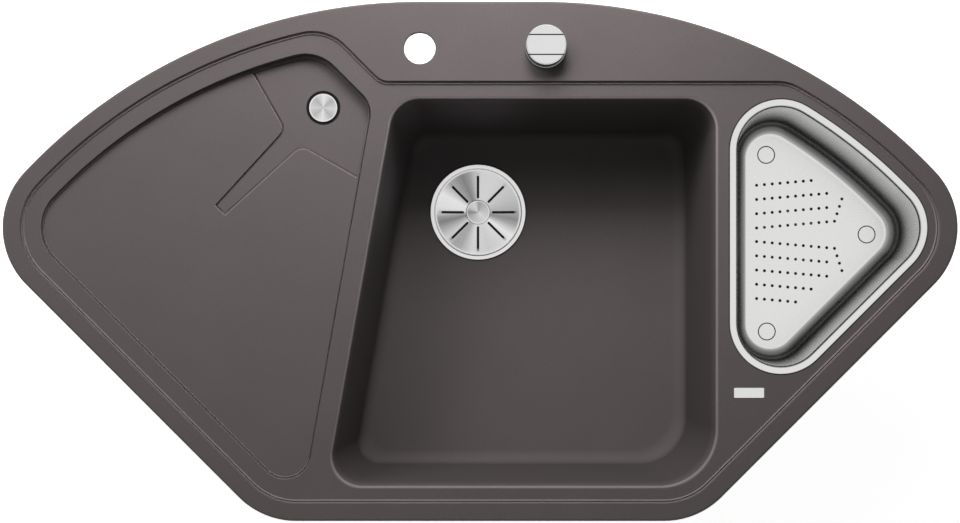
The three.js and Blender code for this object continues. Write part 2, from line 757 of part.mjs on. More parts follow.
// ---- Colander ----
function perforations() {
  const low = COLANDER_FLOOR - 2 * FOOT_DROP;
  const high = COLANDER_FLOOR + FOOT_DROP;
  const holes = [];
  const drill = (x, y) => holes.push(post({ x, y }, HOLE_RADIUS, low, high, 6));
  const row = (index, count, side) => {
    for (let k = 0; k < count; k++) {
      const along = k * HOLE_PITCH;
      const off = ROW_FIRST + index * ROW_PITCH + along * Math.sin(ROW_LEAN * RAD);
      drill(HOLES_X + along * Math.cos(ROW_LEAN * RAD), HOLES_Y + side * off);
    }
  };
  for (const side of [-1, 1]) {
    ROW_COUNTS.forEach((count, index) => row(index, count, side));
    const last = (ROW_COUNTS[0] - 1) * HOLE_PITCH;
    const endX = HOLES_X + last * Math.cos(ROW_LEAN * RAD);
    const endOff = ROW_FIRST + last * Math.sin(ROW_LEAN * RAD);
    for (let k = 1; k <= END_COUNT; k++) {
      const step = k * HOLE_PITCH;
      const x = endX + step * Math.sin(END_LEAN * RAD);
      drill(x, HOLES_Y + side * (endOff + step * Math.cos(END_LEAN * RAD)));
    }
  }
  row(ROW_COUNTS.length, FRONT_ROW_COUNT, -1);
  return holes;
}

// Feet stand near the corners, a little outwards from each corner's centre.
function feetPlaces() {
  const corners = [0, 1, 3];
  return corners.map((i) => {
    const circle = colanderOutline[i];
    const before = beltAngle(colanderOutline.at(i - 1), circle);
    const after = beltAngle(circle, colanderOutline[(i + 1) % colanderOutline.length]);
    const sweep = THREE.MathUtils.euclideanModulo(after - before, 2 * Math.PI);
    const out = directionOut(before + sweep / 2);
    return { x: circle.x + FOOT_SHIFT * out.x, y: circle.y + FOOT_SHIFT * out.y };
  });
}

function colander() {
  const rimZ = LAND + COLANDER_PROUD;
  const lipZ = ledgeZ + GAP;
  const sheet = COLANDER_SHEET;
  const section = (grow) => bowlSection({
    top: rimZ - COLANDER_ROUND,
    floor: COLANDER_FLOOR - grow,
    draft: COLANDER_DRAFT,
    fillet: COLANDER_FILLET + grow,
    inset: COLANDER_RIM - grow,
  });
  const overEdge = roundedEdge(COLANDER_RIM, rimZ, COLANDER_ROUND);
  const profile = [
    ...section(sheet),
    [COLANDER_RIM - COLANDER_ROUND, rimZ - sheet],
    [sheet, rimZ - sheet],
    [sheet, lipZ],
    [0, lipZ],
    [0, rimZ - COLANDER_ROUND / 2],
    [COLANDER_ROUND / 2, rimZ],
    ...overEdge.reverse(),
    ...section(0).reverse(),
  ];
  const shell = loft(profile.map(([inset, z]) => ring(colanderOutline, inset, z)));
  const low = COLANDER_FLOOR - FOOT_DROP;
  const feet = feetPlaces();
  const foot = (radius, down, up) => [[0, down], [radius - 1, down], [radius, up], [0, up]];
  const withFeet = joined(shell, ...feet.map((at) =>
    revolved(foot(FOOT_RADIUS + sheet, low - sheet, COLANDER_FLOOR - sheet / 2), at, 12)));
  const dimpled = cut(withFeet, ...feet.map((at) =>
    revolved(foot(FOOT_RADIUS, low, COLANDER_FLOOR + sheet), at, 12)));
  return cut(dimpled, ...perforations());
}

// ---- Outlet of the main bowl ----
const sleeveIn = SLEEVE_RADIUS - SLEEVE_WALL;
const sleeveEnd = MAIN_FLOOR - SLEEVE_LENGTH;
const flangeUnder = MAIN_FLOOR + FLANGE_PROUD - FLANGE_THICK;
const shelfZ = MAIN_FLOOR - SHELF_DROP;
const seatIn = sleeveIn - SEAT_IN;
const coneZ = MAIN_FLOOR - CONE_DEPTH;
const bodyUnder = MAIN_FLOOR - WALL;

const ringShape = (inner, outer, low, high) =>
  [[inner, low], [outer, low], [outer, high], [inner, high]];

function outletFlange() {
  const rim = MAIN_FLOOR + FLANGE_PROUD;
  return revolved([
    [SLEEVE_RADIUS, flangeUnder],
    [FLANGE_RADIUS, flangeUnder],
    [FLANGE_RADIUS, rim],
    [FLANGE_RADIUS - LIP_WIDTH + SHELF_DROP, rim],
    [FLANGE_RADIUS - LIP_WIDTH, shelfZ],
    [FLANGE_RADIUS - LIP_WIDTH - STRAINER_FLAT, shelfZ],
    [sleeveIn, shelfZ - SHELF_DROP],
    [sleeveIn, coneZ],
    [seatIn, coneZ - SEAT_FALL],
    [seatIn, sleeveEnd],
    [SLEEVE_RADIUS, sleeveEnd],
  ], OUTLET, SEEN_SIDES);
}

const lowerSealZ = bodyUnder - GAP - 2 * SEAL_THICK;
const outletSeal = () => revolved(
  ringShape(clear(SLEEVE_RADIUS), FLANGE_RADIUS + 4, lowerSealZ, bodyUnder - GAP), OUTLET);

// A nut with grip lobes round it and a stepped bore: its profile is what the bore takes out.
function gripNut(outer, low, high, lobes, bore, at, sides) {
  const shape = new THREE.Shape(Array.from({ length: 2 * lobes }, (_, k) => {
    const angle = (k * Math.PI) / lobes;
    const radius = k % 2 ? outer - NUT_LOBE : outer;
    return new THREE.Vector2(radius * Math.cos(angle), radius * Math.sin(angle));
  }));
  const body = new THREE.ExtrudeGeometry(shape, { depth: high - low, bevelEnabled: false });
  body.translate(at.x, at.y, low);
  return solid(body).subtract(revolved(bore, at, sides));
}

// The bore of a nut that is plain from end to end.
const plainBore = (radius, low, high) =>
  [[0, low - PAST], [radius, low - PAST], [radius, high + PAST], [0, high + PAST]];

const ringNutTop = lowerSealZ - GAP;
const ringNutLow = ringNutTop - NUT_HEIGHT;
const outletNut = () => gripNut(
  SLEEVE_RADIUS + NUT_REACH, ringNutLow, ringNutTop, 8,
  plainBore(clear(SLEEVE_RADIUS), ringNutLow, ringNutTop), OUTLET, HIDDEN_SIDES);

// Strainer: a dished disc with slots, a button in its middle, and a plug under it.
const strainerRadius = FLANGE_RADIUS - LIP_WIDTH - 0.7;
const discRimTop = shelfZ + GAP + STRAINER_SHEET;
const discTop = discRimTop - STRAINER_DISH;
const discUnder = discTop - STRAINER_SHEET;
const stemBore = BUTTON_STEM + GAP;

function strainerDisc() {
  const dish = shares(2).map((t) => [
    strainerRadius - STRAINER_FLAT - t * (strainerRadius - STRAINER_FLAT - BUTTON_RADIUS),
    discRimTop - STRAINER_DISH * Math.sin(t * 90 * RAD),
  ]);
  const upper = [[strainerRadius, discRimTop], ...dish, [stemBore + GAP, discTop]];
  const lower = upper.map(([r, z]) => [r, z - STRAINER_SHEET]).reverse();
  const disc = revolved([...upper, ...lower], OUTLET, SEEN_SIDES);
  const slot = block([SLOT_INNER, -SLOT_WIDTH / 2, discUnder - PAST],
    [SLOT_OUTER, SLOT_WIDTH / 2, discRimTop + PAST]);
  const slots = Array.from({ length: STRAINER_SLOTS }, (_, k) =>
    slot.rotate([0, 0, (360 * k) / STRAINER_SLOTS]).translate([OUTLET.x, OUTLET.y, 0]));
  return cut(disc, ...slots);
}

const stemEnd = discUnder - 8;

function strainerButton() {
  const under = discTop + GAP;
  const crown = MAIN_FLOOR + 0.6;
  return revolved([
    [0, stemEnd],
    [BUTTON_STEM, stemEnd],
    [BUTTON_STEM, under],
    [BUTTON_RADIUS, under],
    [BUTTON_RADIUS, crown - 1],
    [BUTTON_RADIUS - 1.5, crown],
    [0, crown - 1.3],
  ], OUTLET, SEEN_SIDES);
}

const plateTop = coneZ + 4;
const plateUnder = plateTop - PLUG_PLATE;
const sealRimIn = seatIn - 3;
const sealEnd = coneZ - 3.4;
const plugEnd = sealEnd - 2;
const hubEnd = plateUnder - 13;
const pinBore = PIN_RADIUS + 0.5;
const pinTop = stemEnd - 3 - GAP;

function plugBody() {
  return revolved([
    [0, stemEnd - GAP],
    [stemBore, stemEnd - GAP],
    [stemBore, discUnder - GAP],
    [stemBore + 4, discUnder - GAP],
    [stemBore + 4, plateTop],
    [sleeveIn - 1, plateTop],
    [sleeveIn - 1, plateUnder],
    [sealRimIn, plateUnder],
    [sealRimIn, plugEnd],
    [PLUG_HUB, plugEnd],
    [PLUG_HUB, hubEnd],
    [pinBore, hubEnd],
    [pinBore, pinTop + GAP],
    [0, pinTop + GAP],
  ], OUTLET);
}

const plugSeal = () => revolved([
  [clear(sealRimIn), plateUnder - GAP],
  [sleeveIn - 1, plateUnder - GAP],
  [sleeveIn - 1, coneZ - GAP],
  [sealRimIn + 1.7, sealEnd],
  [clear(sealRimIn), sealEnd],
], OUTLET);

// ---- Lift pin, lever and waste body ----
const pinEnd = pinTop - PIN_LENGTH;
const liftPin = () => post(OUTLET, PIN_RADIUS, pinEnd, pinTop, PIPE_SIDES);

const leverStart = -LEVER_SWING / 2;
const tipDrop = LEVER_ARM * Math.sin((LEVER_SWING / 2) * RAD);
const tipReach = (LEVER_ARM * (1 + Math.cos((LEVER_SWING / 2) * RAD))) / 2;
const axle = { y: OUTLET.y - tipReach, z: pinEnd - LEVER_SLACK - PIN_RADIUS + tipDrop };

// A flat arm with round ends that lies across x and swings about the axle.
function arm(length, fromRadius, toRadius, degrees, x, thick) {
  const shape = new THREE.Shape(belt([
    { x: 0, y: 0, r: fromRadius },
    { x: length, y: 0, r: toRadius },
  ]));
  const geometry = new THREE.ExtrudeGeometry(shape, { depth: thick, bevelEnabled: false });
  geometry.rotateX(90 * RAD);
  geometry.rotateZ(90 * RAD);
  return solid(geometry).rotate([degrees, 0, 0]).translate([x, axle.y, axle.z]);
}

// A round bar or bore along x on the axle's line.
const onAxle = (radius, from, to) =>
  laid(post({ x: 0, y: 0 }, radius, from, to, PIPE_SIDES),
    { x: OUTLET.x, y: axle.y }, axle.z, 0);

const liftLever = () => joined(
  onAxle(AXLE_RADIUS, -PLATE, CRANK_OFFSET + PLATE),
  arm(LEVER_ARM, LEVER_HUB, PIN_RADIUS, leverStart, OUTLET.x - PLATE, 2 * PLATE),
  arm(TAIL_ARM, LEVER_HUB, LEVER_HUB, leverStart + 180, OUTLET.x - PLATE, 2 * PLATE),
  arm(CRANK_ARM, LEVER_HUB, PLATE, leverStart - CRANK_TURN, OUTLET.x + CRANK_OFFSET, PLATE),
);

const cupTop = ringNutLow - GAP;
const cupIn = clear(SLEEVE_RADIUS);
const cupOut = cupIn + WASTE_WALL;
const cupEnd = sleeveEnd - WASTE_DEPTH;
const cupCorner = 8;
const guideTop = sleeveEnd - 1.5;
const guideLow = guideTop - 5.5;
const bracketY = axle.y + BRACKET_REACH;
const crankX = OUTLET.x + CRANK_OFFSET + PLATE / 2;
const crankZ = axle.z - CRANK_ARM;
const overflowAngle = Math.atan2(OVERFLOW.y - OUTLET.y, OVERFLOW.x - OUTLET.x) / RAD;

// Round stock for spouts: along z from one distance to another.
const stock = (radius, from, to) => post({ x: 0, y: 0 }, radius, from, to, PIPE_SIDES);
const socketOut = (pipe) => pipe + SOCKET_WALL;
const mouthIn = (pipe) => clear(pipe, PIPE_SIDES);

// A spout for a pipe, as what it adds and what its bore and its mouth take away.
function spout(pipe, wall, start, reach) {
  const shoulder = reach - SOCKET_LENGTH;
  return {
    outside: joined(
      stock(pipe, start, shoulder),
      stock(socketOut(pipe), shoulder - SOCKET_WALL, reach),
    ),
    inside: joined(
      stock(pipe - wall, 0, reach),
      stock(mouthIn(pipe), shoulder, reach + PAST),
    ),
  };
}

function wasteBody() {
  const shell = revolved([
    [0, cupEnd],
    [cupOut - cupCorner, cupEnd],
    [cupOut, cupEnd + cupCorner],
    [cupOut, cupTop],
    [0, cupTop],
  ], OUTLET);
  const hollow = revolved([
    [0, cupEnd + WASTE_WALL],
    [cupIn - WASTE_WALL - cupCorner, cupEnd + WASTE_WALL],
    [cupIn - WASTE_WALL, cupEnd + WASTE_WALL + cupCorner],
    [cupIn - WASTE_WALL, sleeveEnd - GAP],
    [cupIn, sleeveEnd - GAP],
    [cupIn, cupTop + PAST],
    [0, cupTop + PAST],
  ], OUTLET);
  const start = cupIn - 2 * WASTE_WALL - GAP;
  const branch = spout(PIPE_RADIUS, PIPE_WALL, start, SPOUT_REACH);
  const inlet = spout(OVERFLOW_PIPE, OVERFLOW_WALL, start, SPOUT_REACH);
  const back = (s) => laid(s, OUTLET, PIPE_Z, 90);
  const left = (s) => laid(s, OUTLET, OVERFLOW_PIPE_Z, overflowAngle);
  const bracket = block(
    [OUTLET.x + cupIn - 2 * WASTE_WALL, bracketY - PLATE / 2, crankZ - 2 * PLATE],
    [crankX + 2 * PLATE, bracketY + PLATE / 2, crankZ + 2 * PLATE]);
  const bracketHole = laid(stock(GLAND_RADIUS + GAP, -PAST, PAST),
    { x: crankX, y: bracketY }, crankZ, 90);
  const outside = joined(shell, back(branch.outside), left(inlet.outside),
    onAxle(LEVER_HUB + 2, cupIn - 3 * WASTE_WALL, CRANK_OFFSET - GAP), bracket);
  const opened = cut(outside, hollow, back(branch.inside), left(inlet.inside),
    onAxle(AXLE_RADIUS + GAP, 0, CRANK_OFFSET + PAST), bracketHole);
  const guide = joined(
    block([OUTLET.x - cupIn, OUTLET.y - PLATE / 2, guideLow],
      [OUTLET.x + cupIn, OUTLET.y + PLATE / 2, guideTop]),
    post(OUTLET, PIN_RADIUS + PLATE, guideLow, guideTop, PIPE_SIDES));
  const bore = post(OUTLET, PIN_RADIUS + GAP, guideLow - PAST, guideTop + PAST, PIPE_SIDES);
  return opened.add(guide.subtract(bore));
}

// Stub on the bracket that holds the end of the cable's sheath.
const cableGland = () => laid(revolved([
  [CABLE_BORE, -PLATE],
  [GLAND_RADIUS, -PLATE],
  [GLAND_RADIUS, PLATE / 2 + GAP],
  [GLAND_RADIUS + 2, PLATE / 2 + GAP],
  [GLAND_RADIUS, GLAND_LENGTH],
  [CABLE_BORE, GLAND_LENGTH],
], undefined, PIPE_SIDES), { x: crankX, y: bracketY }, crankZ, 90);

// ---- Pipes ----
// A nut that grips a socket up to z = 0 and ends in a lip round the pipe.
function unionNut(pipe) {
  const socket = clear(socketOut(pipe), PIPE_SIDES);
  const neck = mouthIn(pipe);
  return gripNut(socket + UNION_WALL, -UNION_GRIP, UNION_NOSE, 6, [
    [0, -UNION_GRIP - PAST],
    [socket, -UNION_GRIP - PAST],
    [socket, GAP],
    [neck, GAP],
    [neck, UNION_NOSE + PAST],
    [0, UNION_NOSE + PAST],
  ], { x: 0, y: 0 }, PIPE_SIDES);
}

// A run of stops along a path: straight stretches, and quarter turns at its corners.
class Route extends THREE.Curve {
  constructor(points, bend) {
    super();
    this.stops = points.flatMap((corner, i) => {
      if (i === 0 || i === points.length - 1) return [corner];
      const back = points[i - 1].clone().sub(corner).setLength(bend);
      const ahead = points[i + 1].clone().sub(corner).setLength(bend);
      const centre = corner.clone().add(back).add(ahead);
      return shares(BEND_STEPS).map((t) =>
        centre.clone()
          .addScaledVector(ahead, -Math.cos(t * 90 * RAD))
          .addScaledVector(back, -Math.sin(t * 90 * RAD)));
    });
  }

  getPointAt(t) {
    return this.stops[Math.round(t * (this.stops.length - 1))].clone();
  }

  getTangentAt(t) {
    const i = Math.round(t * (this.stops.length - 1));
    const here = this.stops[i];
    const before = this.stops[i - 1] ?? here.clone().multiplyScalar(2).sub(this.stops[i + 1]);
    const after = this.stops[i + 1] ?? here.clone().multiplyScalar(2).sub(before);
    const into = here.clone().sub(before).normalize();
    return into.add(after.clone().sub(here).normalize()).normalize();
  }
}

// A pipe along a route, hollow where it has a wall.
function pipeAlong(points, bend, radius, wall) {
  const circle = (r) => Array.from({ length: PIPE_SIDES }, (_, k) => {
    const angle = (2 * Math.PI * k) / PIPE_SIDES;
    return new THREE.Vector2(r * Math.cos(angle), r * Math.sin(angle));
  });
  const section = new THREE.Shape(circle(radius));
  if (wall) section.holes.push(new THREE.Path(circle(radius - wall).reverse()));
  const route = new Route(points.map((p) => new THREE.Vector3(...p)), bend);
  return solid(new THREE.ExtrudeGeometry(section, {
    extrudePath: route,
    steps: route.stops.length - 1,
    bevelEnabled: false,
  }));
}

// How far a pipe goes into a socket that opens at a given distance.
const seated = (reach) => reach - SOCKET_LENGTH + 2;

const mainPipe = () => pipeAlong([
  [OUTLET.x, OUTLET.y + seated(SPOUT_REACH), PIPE_Z],
  [OUTLET.x, RUN_Y, PIPE_Z],
  [TEE_X - seated(TEE_HALF), RUN_Y, PIPE_Z],
], PIPE_BEND, PIPE_RADIUS, PIPE_WALL);

const sidePipe = () => pipeAlong([
  [SIDE_OUTLET.x, SIDE_OUTLET.y + seated(SPOUT_REACH), PIPE_Z],
  [SIDE_OUTLET.x, RUN_Y, PIPE_Z],
  [TEE_X + seated(TEE_HALF), RUN_Y, PIPE_Z],
], PIPE_BEND, PIPE_RADIUS, PIPE_WALL);

function wasteTee() {
  const end = spout(PIPE_RADIUS, PIPE_WALL, 0, TEE_HALF);
  const drop = spout(PIPE_RADIUS, PIPE_WALL, 0, TEE_DROP);
  const down = (s) => s.rotate([180, 0, 0]).translate([TEE_X, RUN_Y, PIPE_Z]);
  const along = (s, angle) => laid(s, { x: TEE_X, y: RUN_Y }, PIPE_Z, angle);
  return cut(
    joined(along(end.outside, 0), along(end.outside, 180), down(drop.outside)),
    along(end.inside, 0), along(end.inside, 180), down(stock(PIPE_RADIUS - PIPE_WALL, 0, TEE_DROP + PAST)),
  );
}

// ---- Overflow ----
const overflowSeat = overflowFloor - OVERFLOW_DEPTH;
const insertRadius = OVERFLOW_HOLE - GAP;
const neckRadius = OVERFLOW_BORE - GAP;
const neckBore = neckRadius - OVERFLOW_WALL;
const neckEnd = OVERFLOW_BOSS_Z - 16;
const insertBase = overflowSeat + GAP;
const insertFloor = insertBase + OVERFLOW_WALL;

function overflowInsert() {
  const cup = revolved([
    [neckBore, neckEnd],
    [neckRadius, neckEnd],
    [neckRadius, insertBase],
    [insertRadius, insertBase],
    [insertRadius, overflowFloor - 1],
    [insertRadius - 1.4, overflowFloor - 1],
    [insertRadius - 1.4, insertFloor],
    [neckBore, insertFloor],
  ], OVERFLOW);
  const spoke = block([-neckRadius, -1.2, insertBase], [neckRadius, 1.2, insertFloor]);
  const spokes = [0, 90].map((angle) =>
    spoke.rotate([0, 0, angle]).translate([OVERFLOW.x, OVERFLOW.y, 0]));
  const hub = post(OVERFLOW, COVER_STEM + 2, insertBase, insertFloor + 2, PIPE_SIDES);
  const bore = post(OVERFLOW, clear(COVER_STEM, PIPE_SIDES), insertBase - PAST,
    insertFloor + PAST, PIPE_SIDES);
  return joined(cup, ...spokes, hub).subtract(bore);
}

const coverZ = overflowFloor + 0.8;
const overflowCover = () => revolved([
  [0, insertBase],
  [COVER_STEM, insertBase],
  [COVER_STEM, coverZ - COVER_THICK],
  [COVER_RADIUS, coverZ - COVER_THICK],
  [COVER_RADIUS - 0.6, coverZ],
  [COVER_RADIUS - 1.8, coverZ - 0.3],
  [0, coverZ - 0.3],
], OVERFLOW, SEEN_SIDES);

const overflowSealLow = OVERFLOW_BOSS_Z - GAP - 2 * SEAL_THICK;
const overflowFoot = OVERFLOW_BOSS - 4;
const overflowSeal = () => revolved(
  ringShape(clear(neckRadius, PIPE_SIDES), overflowFoot, overflowSealLow,
    OVERFLOW_BOSS_Z - GAP), OVERFLOW, PIPE_SIDES);

const couplingTop = overflowSealLow - GAP;
const couplingEnd = neckEnd - PLATE - SOCKET_LENGTH;
const overflowCoupling = () => revolved([
  [clear(neckRadius, PIPE_SIDES), couplingTop],
  [overflowFoot, couplingTop],
  [overflowFoot, couplingTop - PLATE],
  [socketOut(OVERFLOW_PIPE), couplingTop - PLATE],
  [socketOut(OVERFLOW_PIPE), couplingEnd],
  [mouthIn(OVERFLOW_PIPE), couplingEnd],
  [mouthIn(OVERFLOW_PIPE), couplingEnd + SOCKET_LENGTH],
  [neckBore, couplingEnd + SOCKET_LENGTH],
  [neckBore, neckEnd - GAP],
  [clear(neckRadius, PIPE_SIDES), neckEnd - GAP],
], OVERFLOW, PIPE_SIDES);

// A point that lies towards the overflow from the outlet's axis.
const towardsOverflow = (distance) => ({
  x: OUTLET.x + distance * Math.cos(overflowAngle * RAD),
  y: OUTLET.y + distance * Math.sin(overflowAngle * RAD),
});

function overflowPipe() {
  const end = towardsOverflow(seated(SPOUT_REACH));
  return pipeAlong([
    [OVERFLOW.x, OVERFLOW.y, couplingEnd + SOCKET_LENGTH - 2],
    [OVERFLOW.x, OVERFLOW.y, OVERFLOW_PIPE_Z],
    [end.x, end.y, OVERFLOW_PIPE_Z],
  ], OVERFLOW_BEND, OVERFLOW_PIPE, OVERFLOW_WALL);
}

// ---- Outlet of the corner bowl ----
const sideIn = SIDE_SLEEVE - SLEEVE_WALL;
const sideUnder = SIDE_FLOOR - WALL;
const sideShelf = SIDE_FLOOR - SHELF_DROP;
const sideFlangeUnder = sideShelf - SLEEVE_WALL / 2;
const sideSleeveEnd = SIDE_FLOOR - SIDE_SLEEVE_LENGTH;

const sideFlange = () => revolved([
  [SIDE_SLEEVE, sideFlangeUnder],
  [SIDE_FLANGE, sideFlangeUnder],
  [SIDE_FLANGE, SIDE_FLOOR + FLANGE_PROUD],
  [SIDE_FLANGE - LIP_WIDTH / 2, SIDE_FLOOR + FLANGE_PROUD],
  [SIDE_FLANGE - LIP_WIDTH, sideShelf],
  [sideIn, sideShelf],
  [sideIn, sideSleeveEnd],
  [SIDE_SLEEVE, sideSleeveEnd],
], SIDE_OUTLET);

const sideSealLow = sideUnder - GAP - 2 * SEAL_THICK;
const sideSeal = () => revolved(
  ringShape(clear(SIDE_SLEEVE), SIDE_FLANGE, sideSealLow, sideUnder - GAP), SIDE_OUTLET);

// A slotted cup with a brim that rests on the flange, and a knob to lift it by.
function sideStrainer() {
  const floor = SIDE_FLOOR - CUP_DEPTH;
  const brim = sideShelf + GAP;
  const radius = SIDE_FLANGE - LIP_WIDTH - 1;
  const cup = revolved([
    [0, floor],
    [sideIn - 3, floor],
    [sideIn - 2, brim],
    [radius, brim],
    [radius, brim + 1],
    [sideIn - 3, brim + 1],
    [sideIn - 4, floor + 1],
    [0, floor + 1],
  ], SIDE_OUTLET);
  const slot = block([CUP_KNOB + 2, -SLOT_WIDTH / 2, floor - PAST],
    [sideIn - 6, SLOT_WIDTH / 2, floor + PAST]);
  const slots = Array.from({ length: STRAINER_SLOTS }, (_, k) =>
    slot.rotate([0, 0, (360 * k) / STRAINER_SLOTS]).translate([SIDE_OUTLET.x, SIDE_OUTLET.y, 0]));
  const knob = revolved([
    [0, floor],
    [CUP_KNOB / 2, floor],
    [CUP_KNOB / 2, brim - 3],
    [CUP_KNOB, brim - 1],
    [CUP_KNOB, brim + 1],
    [0, brim + 1],
  ], SIDE_OUTLET, PIPE_SIDES);
  return cut(cup, ...slots).add(knob);
}

// The body below: it screws up round the sleeve, drops as a pipe and turns to the back.
function sideWaste() {
  const top = sideSealLow - GAP;
  const cupRadius = clear(SIDE_SLEEVE);
  const shoulder = sideSleeveEnd - GAP;
  const cup = revolved([
    [0, shoulder - 2 * PLATE],
    [PIPE_RADIUS, shoulder - 2 * PLATE],
    [cupRadius + WASTE_WALL, shoulder - PLATE],
    [cupRadius + WASTE_WALL, top - PLATE],
    [SIDE_FLANGE, top - PLATE],
    [SIDE_FLANGE, top],
    [0, top],
  ], SIDE_OUTLET);
  const turn = (radius, high, reach) => pipeAlong([
    [SIDE_OUTLET.x, SIDE_OUTLET.y, high],
    [SIDE_OUTLET.x, SIDE_OUTLET.y, PIPE_Z],
    [SIDE_OUTLET.x, SIDE_OUTLET.y + reach, PIPE_Z],
  ], PIPE_BEND, radius);
  const along = (s) => laid(s, SIDE_OUTLET, PIPE_Z, 90);
  const shoulderY = SPOUT_REACH - SOCKET_LENGTH;
  return cut(
    joined(cup, turn(PIPE_RADIUS, shoulder - PLATE, shoulderY),
      along(stock(socketOut(PIPE_RADIUS), shoulderY - SOCKET_WALL, SPOUT_REACH))),
    post(SIDE_OUTLET, cupRadius, shoulder, top + PAST),
    turn(PIPE_RADIUS - PIPE_WALL, shoulder + PAST, shoulderY + PAST),
    along(stock(mouthIn(PIPE_RADIUS), shoulderY, SPOUT_REACH + PAST)),
  );
}

// ---- Knob on the deck and what it turns ----
const rosetteTop = TOP + GAP + ROSETTE_HEIGHT;
const shaftBore = clear(SHAFT_RADIUS, PIPE_SIDES);
const shaftTop = rosetteTop + 9;

function rosette() {
  const body = revolved([
    [0, TAIL_END],
    [TAIL_RADIUS, TAIL_END],
    [TAIL_RADIUS, TOP + GAP],
    [ROSETTE_RADIUS, TOP + GAP],
    [ROSETTE_RADIUS, rosetteTop - 1],
    [ROSETTE_RADIUS - 1, rosetteTop],
    [0, rosetteTop],
  ], KNOB, SEEN_SIDES);
  return body.subtract(post(KNOB, shaftBore, TAIL_END - PAST, rosetteTop + PAST, PIPE_SIDES));
}

function knob() {
  const low = rosetteTop + GAP;
  const body = revolved([
    [0, low],
    [KNOB_RADIUS - 1, low],
    [KNOB_RADIUS, low + 1.5],
    [KNOB_RADIUS, KNOB_TOP - KNOB_BEVEL],
    [KNOB_RADIUS - KNOB_BEVEL, KNOB_TOP],
    [0, KNOB_TOP],
  ], KNOB, SEEN_SIDES);
  const grooves = [-1, 1].map((side) => {
    const middle = KNOB.y + side * KNOB_GROOVE;
    return block(
      [KNOB.x - KNOB_RADIUS - PAST, middle - KNOB_GROOVE_WIDTH / 2, KNOB_TOP - KNOB_GROOVE_DEPTH],
      [KNOB.x + KNOB_RADIUS + PAST, middle + KNOB_GROOVE_WIDTH / 2, KNOB_TOP + PAST]);
  });
  return cut(body, ...grooves,
    post(KNOB, shaftBore, low - PAST, shaftTop + GAP, PIPE_SIDES));
}

const shaft = () => post(KNOB, SHAFT_RADIUS, CASE_BOTTOM + GAP, shaftTop, PIPE_SIDES);

const caseIn = CASE_RADIUS - CASE_WALL;
const drumLow = CASE_BOTTOM + PLATE;
const drumHigh = CASE_TOP - CASE_WALL - PLATE;
const drumMiddle = (drumLow + drumHigh) / 2;

const drum = () => revolved([
  [shaftBore, drumLow],
  [DRUM_RADIUS, drumLow],
  [DRUM_RADIUS, drumMiddle - DRUM_GROOVE],
  [DRUM_RADIUS - DRUM_GROOVE, drumMiddle],
  [DRUM_RADIUS, drumMiddle + DRUM_GROOVE],
  [DRUM_RADIUS, drumHigh],
  [shaftBore, drumHigh],
], KNOB, PIPE_SIDES);

function controlCase() {
  const collar = clear(TAIL_RADIUS);
  const shell = revolved([
    [shaftBore, CASE_TOP - CASE_WALL],
    [caseIn, CASE_TOP - CASE_WALL],
    [caseIn, CASE_BOTTOM],
    [CASE_RADIUS, CASE_BOTTOM],
    [CASE_RADIUS, CASE_TOP],
    [collar + CASE_WALL, CASE_TOP],
    [collar + CASE_WALL, COLLAR_TOP],
    [collar, COLLAR_TOP],
    [collar, CASE_TOP],
    [shaftBore, CASE_TOP],
  ], KNOB);
  const cableHole = laid(stock(CABLE_BORE + 1, 0, 2 * CASE_RADIUS),
    { x: KNOB.x - DRUM_RADIUS + CABLE_BORE, y: KNOB.y }, drumMiddle, -90);
  return shell.subtract(cableHole);
}

const caseCover = () => revolved([
  [0, CASE_BOTTOM - GAP - CASE_WALL],
  [CASE_RADIUS, CASE_BOTTOM - GAP - CASE_WALL],
  [CASE_RADIUS, CASE_BOTTOM - GAP],
  [0, CASE_BOTTOM - GAP],
], KNOB);

const washerLow = -GAP - 2;
const deckWasher = () => revolved(
  ringShape(clear(TAIL_RADIUS), CASE_RADIUS, washerLow, -GAP), KNOB);

const deckNutTop = washerLow - GAP;
const deckNutLow = COLLAR_TOP + GAP;
const deckNut = () => gripNut(CASE_RADIUS + 1, deckNutLow, deckNutTop, 8,
  plainBore(clear(TAIL_RADIUS), deckNutLow, deckNutTop), KNOB, HIDDEN_SIDES);

// ---- Clamps, drawn with x pointing out from the body's edge ----
function clamp() {
  const inner = CLAMP_IN + CLAMP_SHEET;
  const tongue = inner + GAP + CLAMP_TONGUE;
  const footTop = CLAMP_BOTTOM + CLAMP_SHEET;
  const shape = new THREE.Shape([
    [-tongue, CLAMP_TONGUE_Z],
    [-inner, CLAMP_TONGUE_Z],
    [-inner, CLAMP_BOTTOM],
    [-CLAMP_NOSE, CLAMP_BOTTOM],
    [-CLAMP_NOSE, footTop],
    [-CLAMP_IN, footTop],
    [-CLAMP_IN, CLAMP_TONGUE_Z + CLAMP_SHEET],
    [-tongue, CLAMP_TONGUE_Z + CLAMP_SHEET],
  ].map(([x, z]) => new THREE.Vector2(x, z)));
  const strip = new THREE.ExtrudeGeometry(shape, { depth: CLAMP_WIDTH, bevelEnabled: false });
  strip.rotateX(90 * RAD);
  strip.translate(0, CLAMP_WIDTH / 2, 0);
  const hole = post({ x: -SCREW_IN, y: 0 }, SCREW_RADIUS + GAP,
    CLAMP_BOTTOM - PAST, footTop + PAST, SCREW_SIDES);
  return solid(strip).subtract(hole);
}

const clampScrew = () => revolved([
  [0, CLAMP_BOTTOM - 12],
  [SCREW_HEAD, CLAMP_BOTTOM - 12],
  [SCREW_HEAD, CLAMP_BOTTOM - 8],
  [SCREW_RADIUS, CLAMP_BOTTOM - 8],
  [SCREW_RADIUS, SCREW_TIP],
  [0, SCREW_TIP],
], { x: -SCREW_IN, y: 0 }, SCREW_SIDES);

// ---- Assembly ----
const sink = new THREE.Group();
const assembly = new THREE.Group();
assembly.position.y = -SEAT_POINT;
sink.add(assembly);

